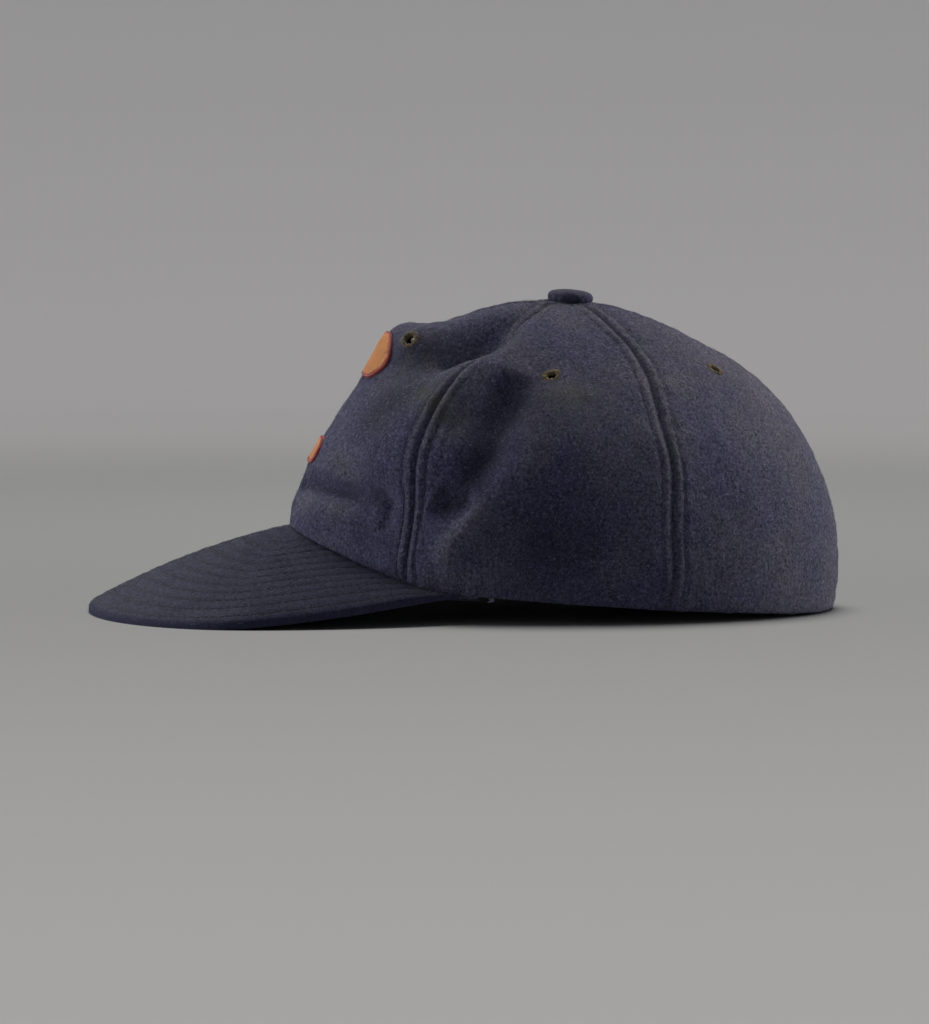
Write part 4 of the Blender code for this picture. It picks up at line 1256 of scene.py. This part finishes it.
crown_fibre = fibre_wool("mixed navy and grey wool fibres", "#25284c", "#ced1e2")
middle_x = np.array([crown_points[face[0]][0] for face in crown_faces])
for name, wanted, seed in (("nap_on_the_left", middle_x > 0, 11),
                           ("nap_on_the_right", middle_x <= 0, 12)):
    piece = nap(name, crown_points, np.array(crown_faces)[wanted], 19000, seed)
    hand_over(piece, None, "wool", crown_fibre)
brim_top = [tuple(p.vertices) for p in brim.data.polygons
            if p.normal.z > 0.2 and len(p.vertices) == 4]
hand_over(nap("nap_on_the_brim", places(brim), brim_top, 14000, 13), None, "wool",
          fibre_wool("flattened dark wool fibres", "#1a1b29", "#8a8e9f"))

# %% Scatter lint and loose hairs
pale_lint = sewing_thread("pale cotton lint", "#8f8f99", "#cbcac7", 0.8)
loose_wool = sewing_thread("loose blue-grey wool", "#545773", "#8e91ab", 0.9)
chance = np.random.default_rng(5)
brim_skin = tree_of(brim, [p.normal.z > 0.2 for p in brim.data.polygons])
on_crown = [crown_points[crown_faces[i][0]] for i in chance.integers(0, len(crown_faces), 930)]
on_brim = [(70 * MM, -17.5 * MM, 12 * MM)]
on_brim += [places(brim)[i] for i in chance.integers(0, len(brim.data.vertices), 60)]
for name, cloth, starts, shortest, longest, thickness, fibre in (
        ("lint_on_the_crown", crown_cloth, on_crown[:30], 0.5, 1.5, 0.06, pale_lint),
        ("loose_fibres_on_the_crown", crown_cloth, on_crown[30:], 1.5, 5.0, 0.05, loose_wool),
        ("lint_on_the_brim", brim_skin, on_brim[:9], 0.6, 1.6, 0.14, pale_lint),
        ("loose_fibres_on_the_brim", brim_skin, on_brim[9:], 1.5, 4.0, 0.05, loose_wool)):
    hand_over(fibres(name, cloth, starts, shortest, longest, thickness, 3), None, "wool", fibre)

# %% Hang two thread ends
# two cut thread ends hang out of the hem behind the brim's left end
root = from_hem(np.array(((85, 5, 8),)) * MM)[0][0]
tails = [[Vector(root + np.array(step) * MM) for step in steps] for steps in (
    ((-0.6, -0.6, 0.4), (0.1, -0.3, -0.3), (0.3, 0.4, -0.7), (0.1, 0.9, -0.3), (-0.2, 0.5, 0.2)),
    ((-0.6, 0.5, 0.4), (0.2, 0.1, -0.4), (0.4, -0.5, -0.8), (0.5, -0.9, -0.7), (0.5, -1.2, -0.9)))]
hand_over(thread_mesh("thread_ends_at_the_brim", tails, 0.4), None, "wool", loose_wool)
print("thread ends hang at", (root / MM).round(1))

# %% [markdown]
# ## The stage
# The cap lies on a wide pale floor that curves up into a wall all round, so no edge shows
# behind it.  It is made as a profile spun round.

# %% Floor and wall in one bowl
FLOOR, BEND, WALL_TOP = 2200, 900, 3200        # mm: radius of the flat floor and the bend, and height
profile = [(0, 0), (FLOOR, 0)]
profile += [(FLOOR + BEND * math.sin(turn), BEND * (1 - math.cos(turn)))
            for turn in np.linspace(0.15, math.pi / 2, 9)]
profile += [(FLOOR + BEND, WALL_TOP)]
bowl = spun("studio_floor", profile, 64, inward=True)
paper = new_finish("matt grey backdrop paper")
place = add(paper, "TexCoord").outputs["Object"]
centre = add(paper, "VectorMath", {0: place, 1: (-0.55, 0.0, 0.0)}, operation="DISTANCE")
climb = add(paper, "MapRange", {"Value": centre.outputs["Value"], "From Min": 0.4, "From Max": 2.1},
            interpolation_type="SMOOTHSTEP")
grey = add(paper, "Mix", {0: climb, 6: "#8b8f93", 7: "#c2c5ca"}, data_type="RGBA")
bowl.data.materials.append(finished(paper, {"Base Color": grey, "Roughness": 1.0,
                                            "Specular IOR Level": 0.1}))
print("floor", 2 * FLOOR * MM, "m wide with a wall", WALL_TOP * MM, "m high")

# %% [markdown]
# ## Light and camera
# Two large low lights stand on the cap's far side, one before the brim and one behind the back,
# and reach only the cap: on the floor they would burn out.  One overhead lights both, and a wide
# wash light evens out the floor alone.  The side that faces the camera falls off towards its
# middle, and the light that the floor and a weak even room light throw back fills the rest.

# %% What the lights reach
the_cap = bpy.data.collections.new("what the low lights reach")
for piece in bpy.data.objects:
    if piece.type == "MESH" and piece is not bowl:
        the_cap.objects.link(piece)
the_floor = bpy.data.collections.new("what the wash light reaches")
the_floor.objects.link(bowl)

# %% Four soft lights
def soft_light(name, place, aim, size, power, colour, reach=None):
    """A round softbox.  It lights the pieces in the collection reach, or everything."""
    lamp = bpy.data.lights.new(name, "AREA")
    lamp.shape, lamp.size, lamp.energy, lamp.color = "DISK", size, power, paint(colour)[:3]
    holder = bpy.data.objects.new(name, lamp)
    bpy.context.scene.collection.objects.link(holder)
    holder.location = place
    holder.rotation_euler = (Vector(aim) - Vector(place)).to_track_quat("-Z", "Y").to_euler()
    if reach:
        holder.light_linking.receiver_collection = reach


soft_light("key", (-0.5, -2.0, 0.45), (0, 0, 0.05), 1.0, 32, "#fffcf6", the_cap)
soft_light("back", (-0.6, 1.9, 0.85), (0, 0, 0.05), 1.0, 37, "#fff8ee", the_cap)
soft_light("over", (-0.7, 0.15, 2.4), (0, 0, 0.0), 1.4, 34, "#fff8ee")
soft_light("wash", (-0.2, 0, 2.9), (0, 0, 0.0), 2.0, 46, "#fff6ec", the_floor)

# %% The room's light
world = bpy.data.worlds.new("room")
world.use_nodes = True
world.node_tree.nodes["Background"].inputs["Color"].default_value = paint("#c4c8f2")
world.node_tree.nodes["Background"].inputs["Strength"].default_value = 0.048
bpy.context.scene.world = world
bpy.context.scene.view_settings.view_transform = "Standard"

# %% Camera
AZIMUTH, ELEVATION, DISTANCE = math.radians(88), math.radians(3), 1.543
aim = Vector((0, 0, 0.035))
camera = bpy.data.cameras.new("camera")
camera.lens, camera.sensor_width, camera.sensor_fit = 149.9, 36, "AUTO"
camera.clip_end = 20
viewer = bpy.data.objects.new("camera", camera)
bpy.context.scene.collection.objects.link(viewer)
viewer.location = aim + DISTANCE * Vector((math.sin(AZIMUTH) * math.cos(ELEVATION),
                                           -math.cos(AZIMUTH) * math.cos(ELEVATION),
                                           math.sin(ELEVATION)))
viewer.rotation_euler = (aim - viewer.location).to_track_quat("-Z", "Y").to_euler()
bpy.context.scene.camera = viewer
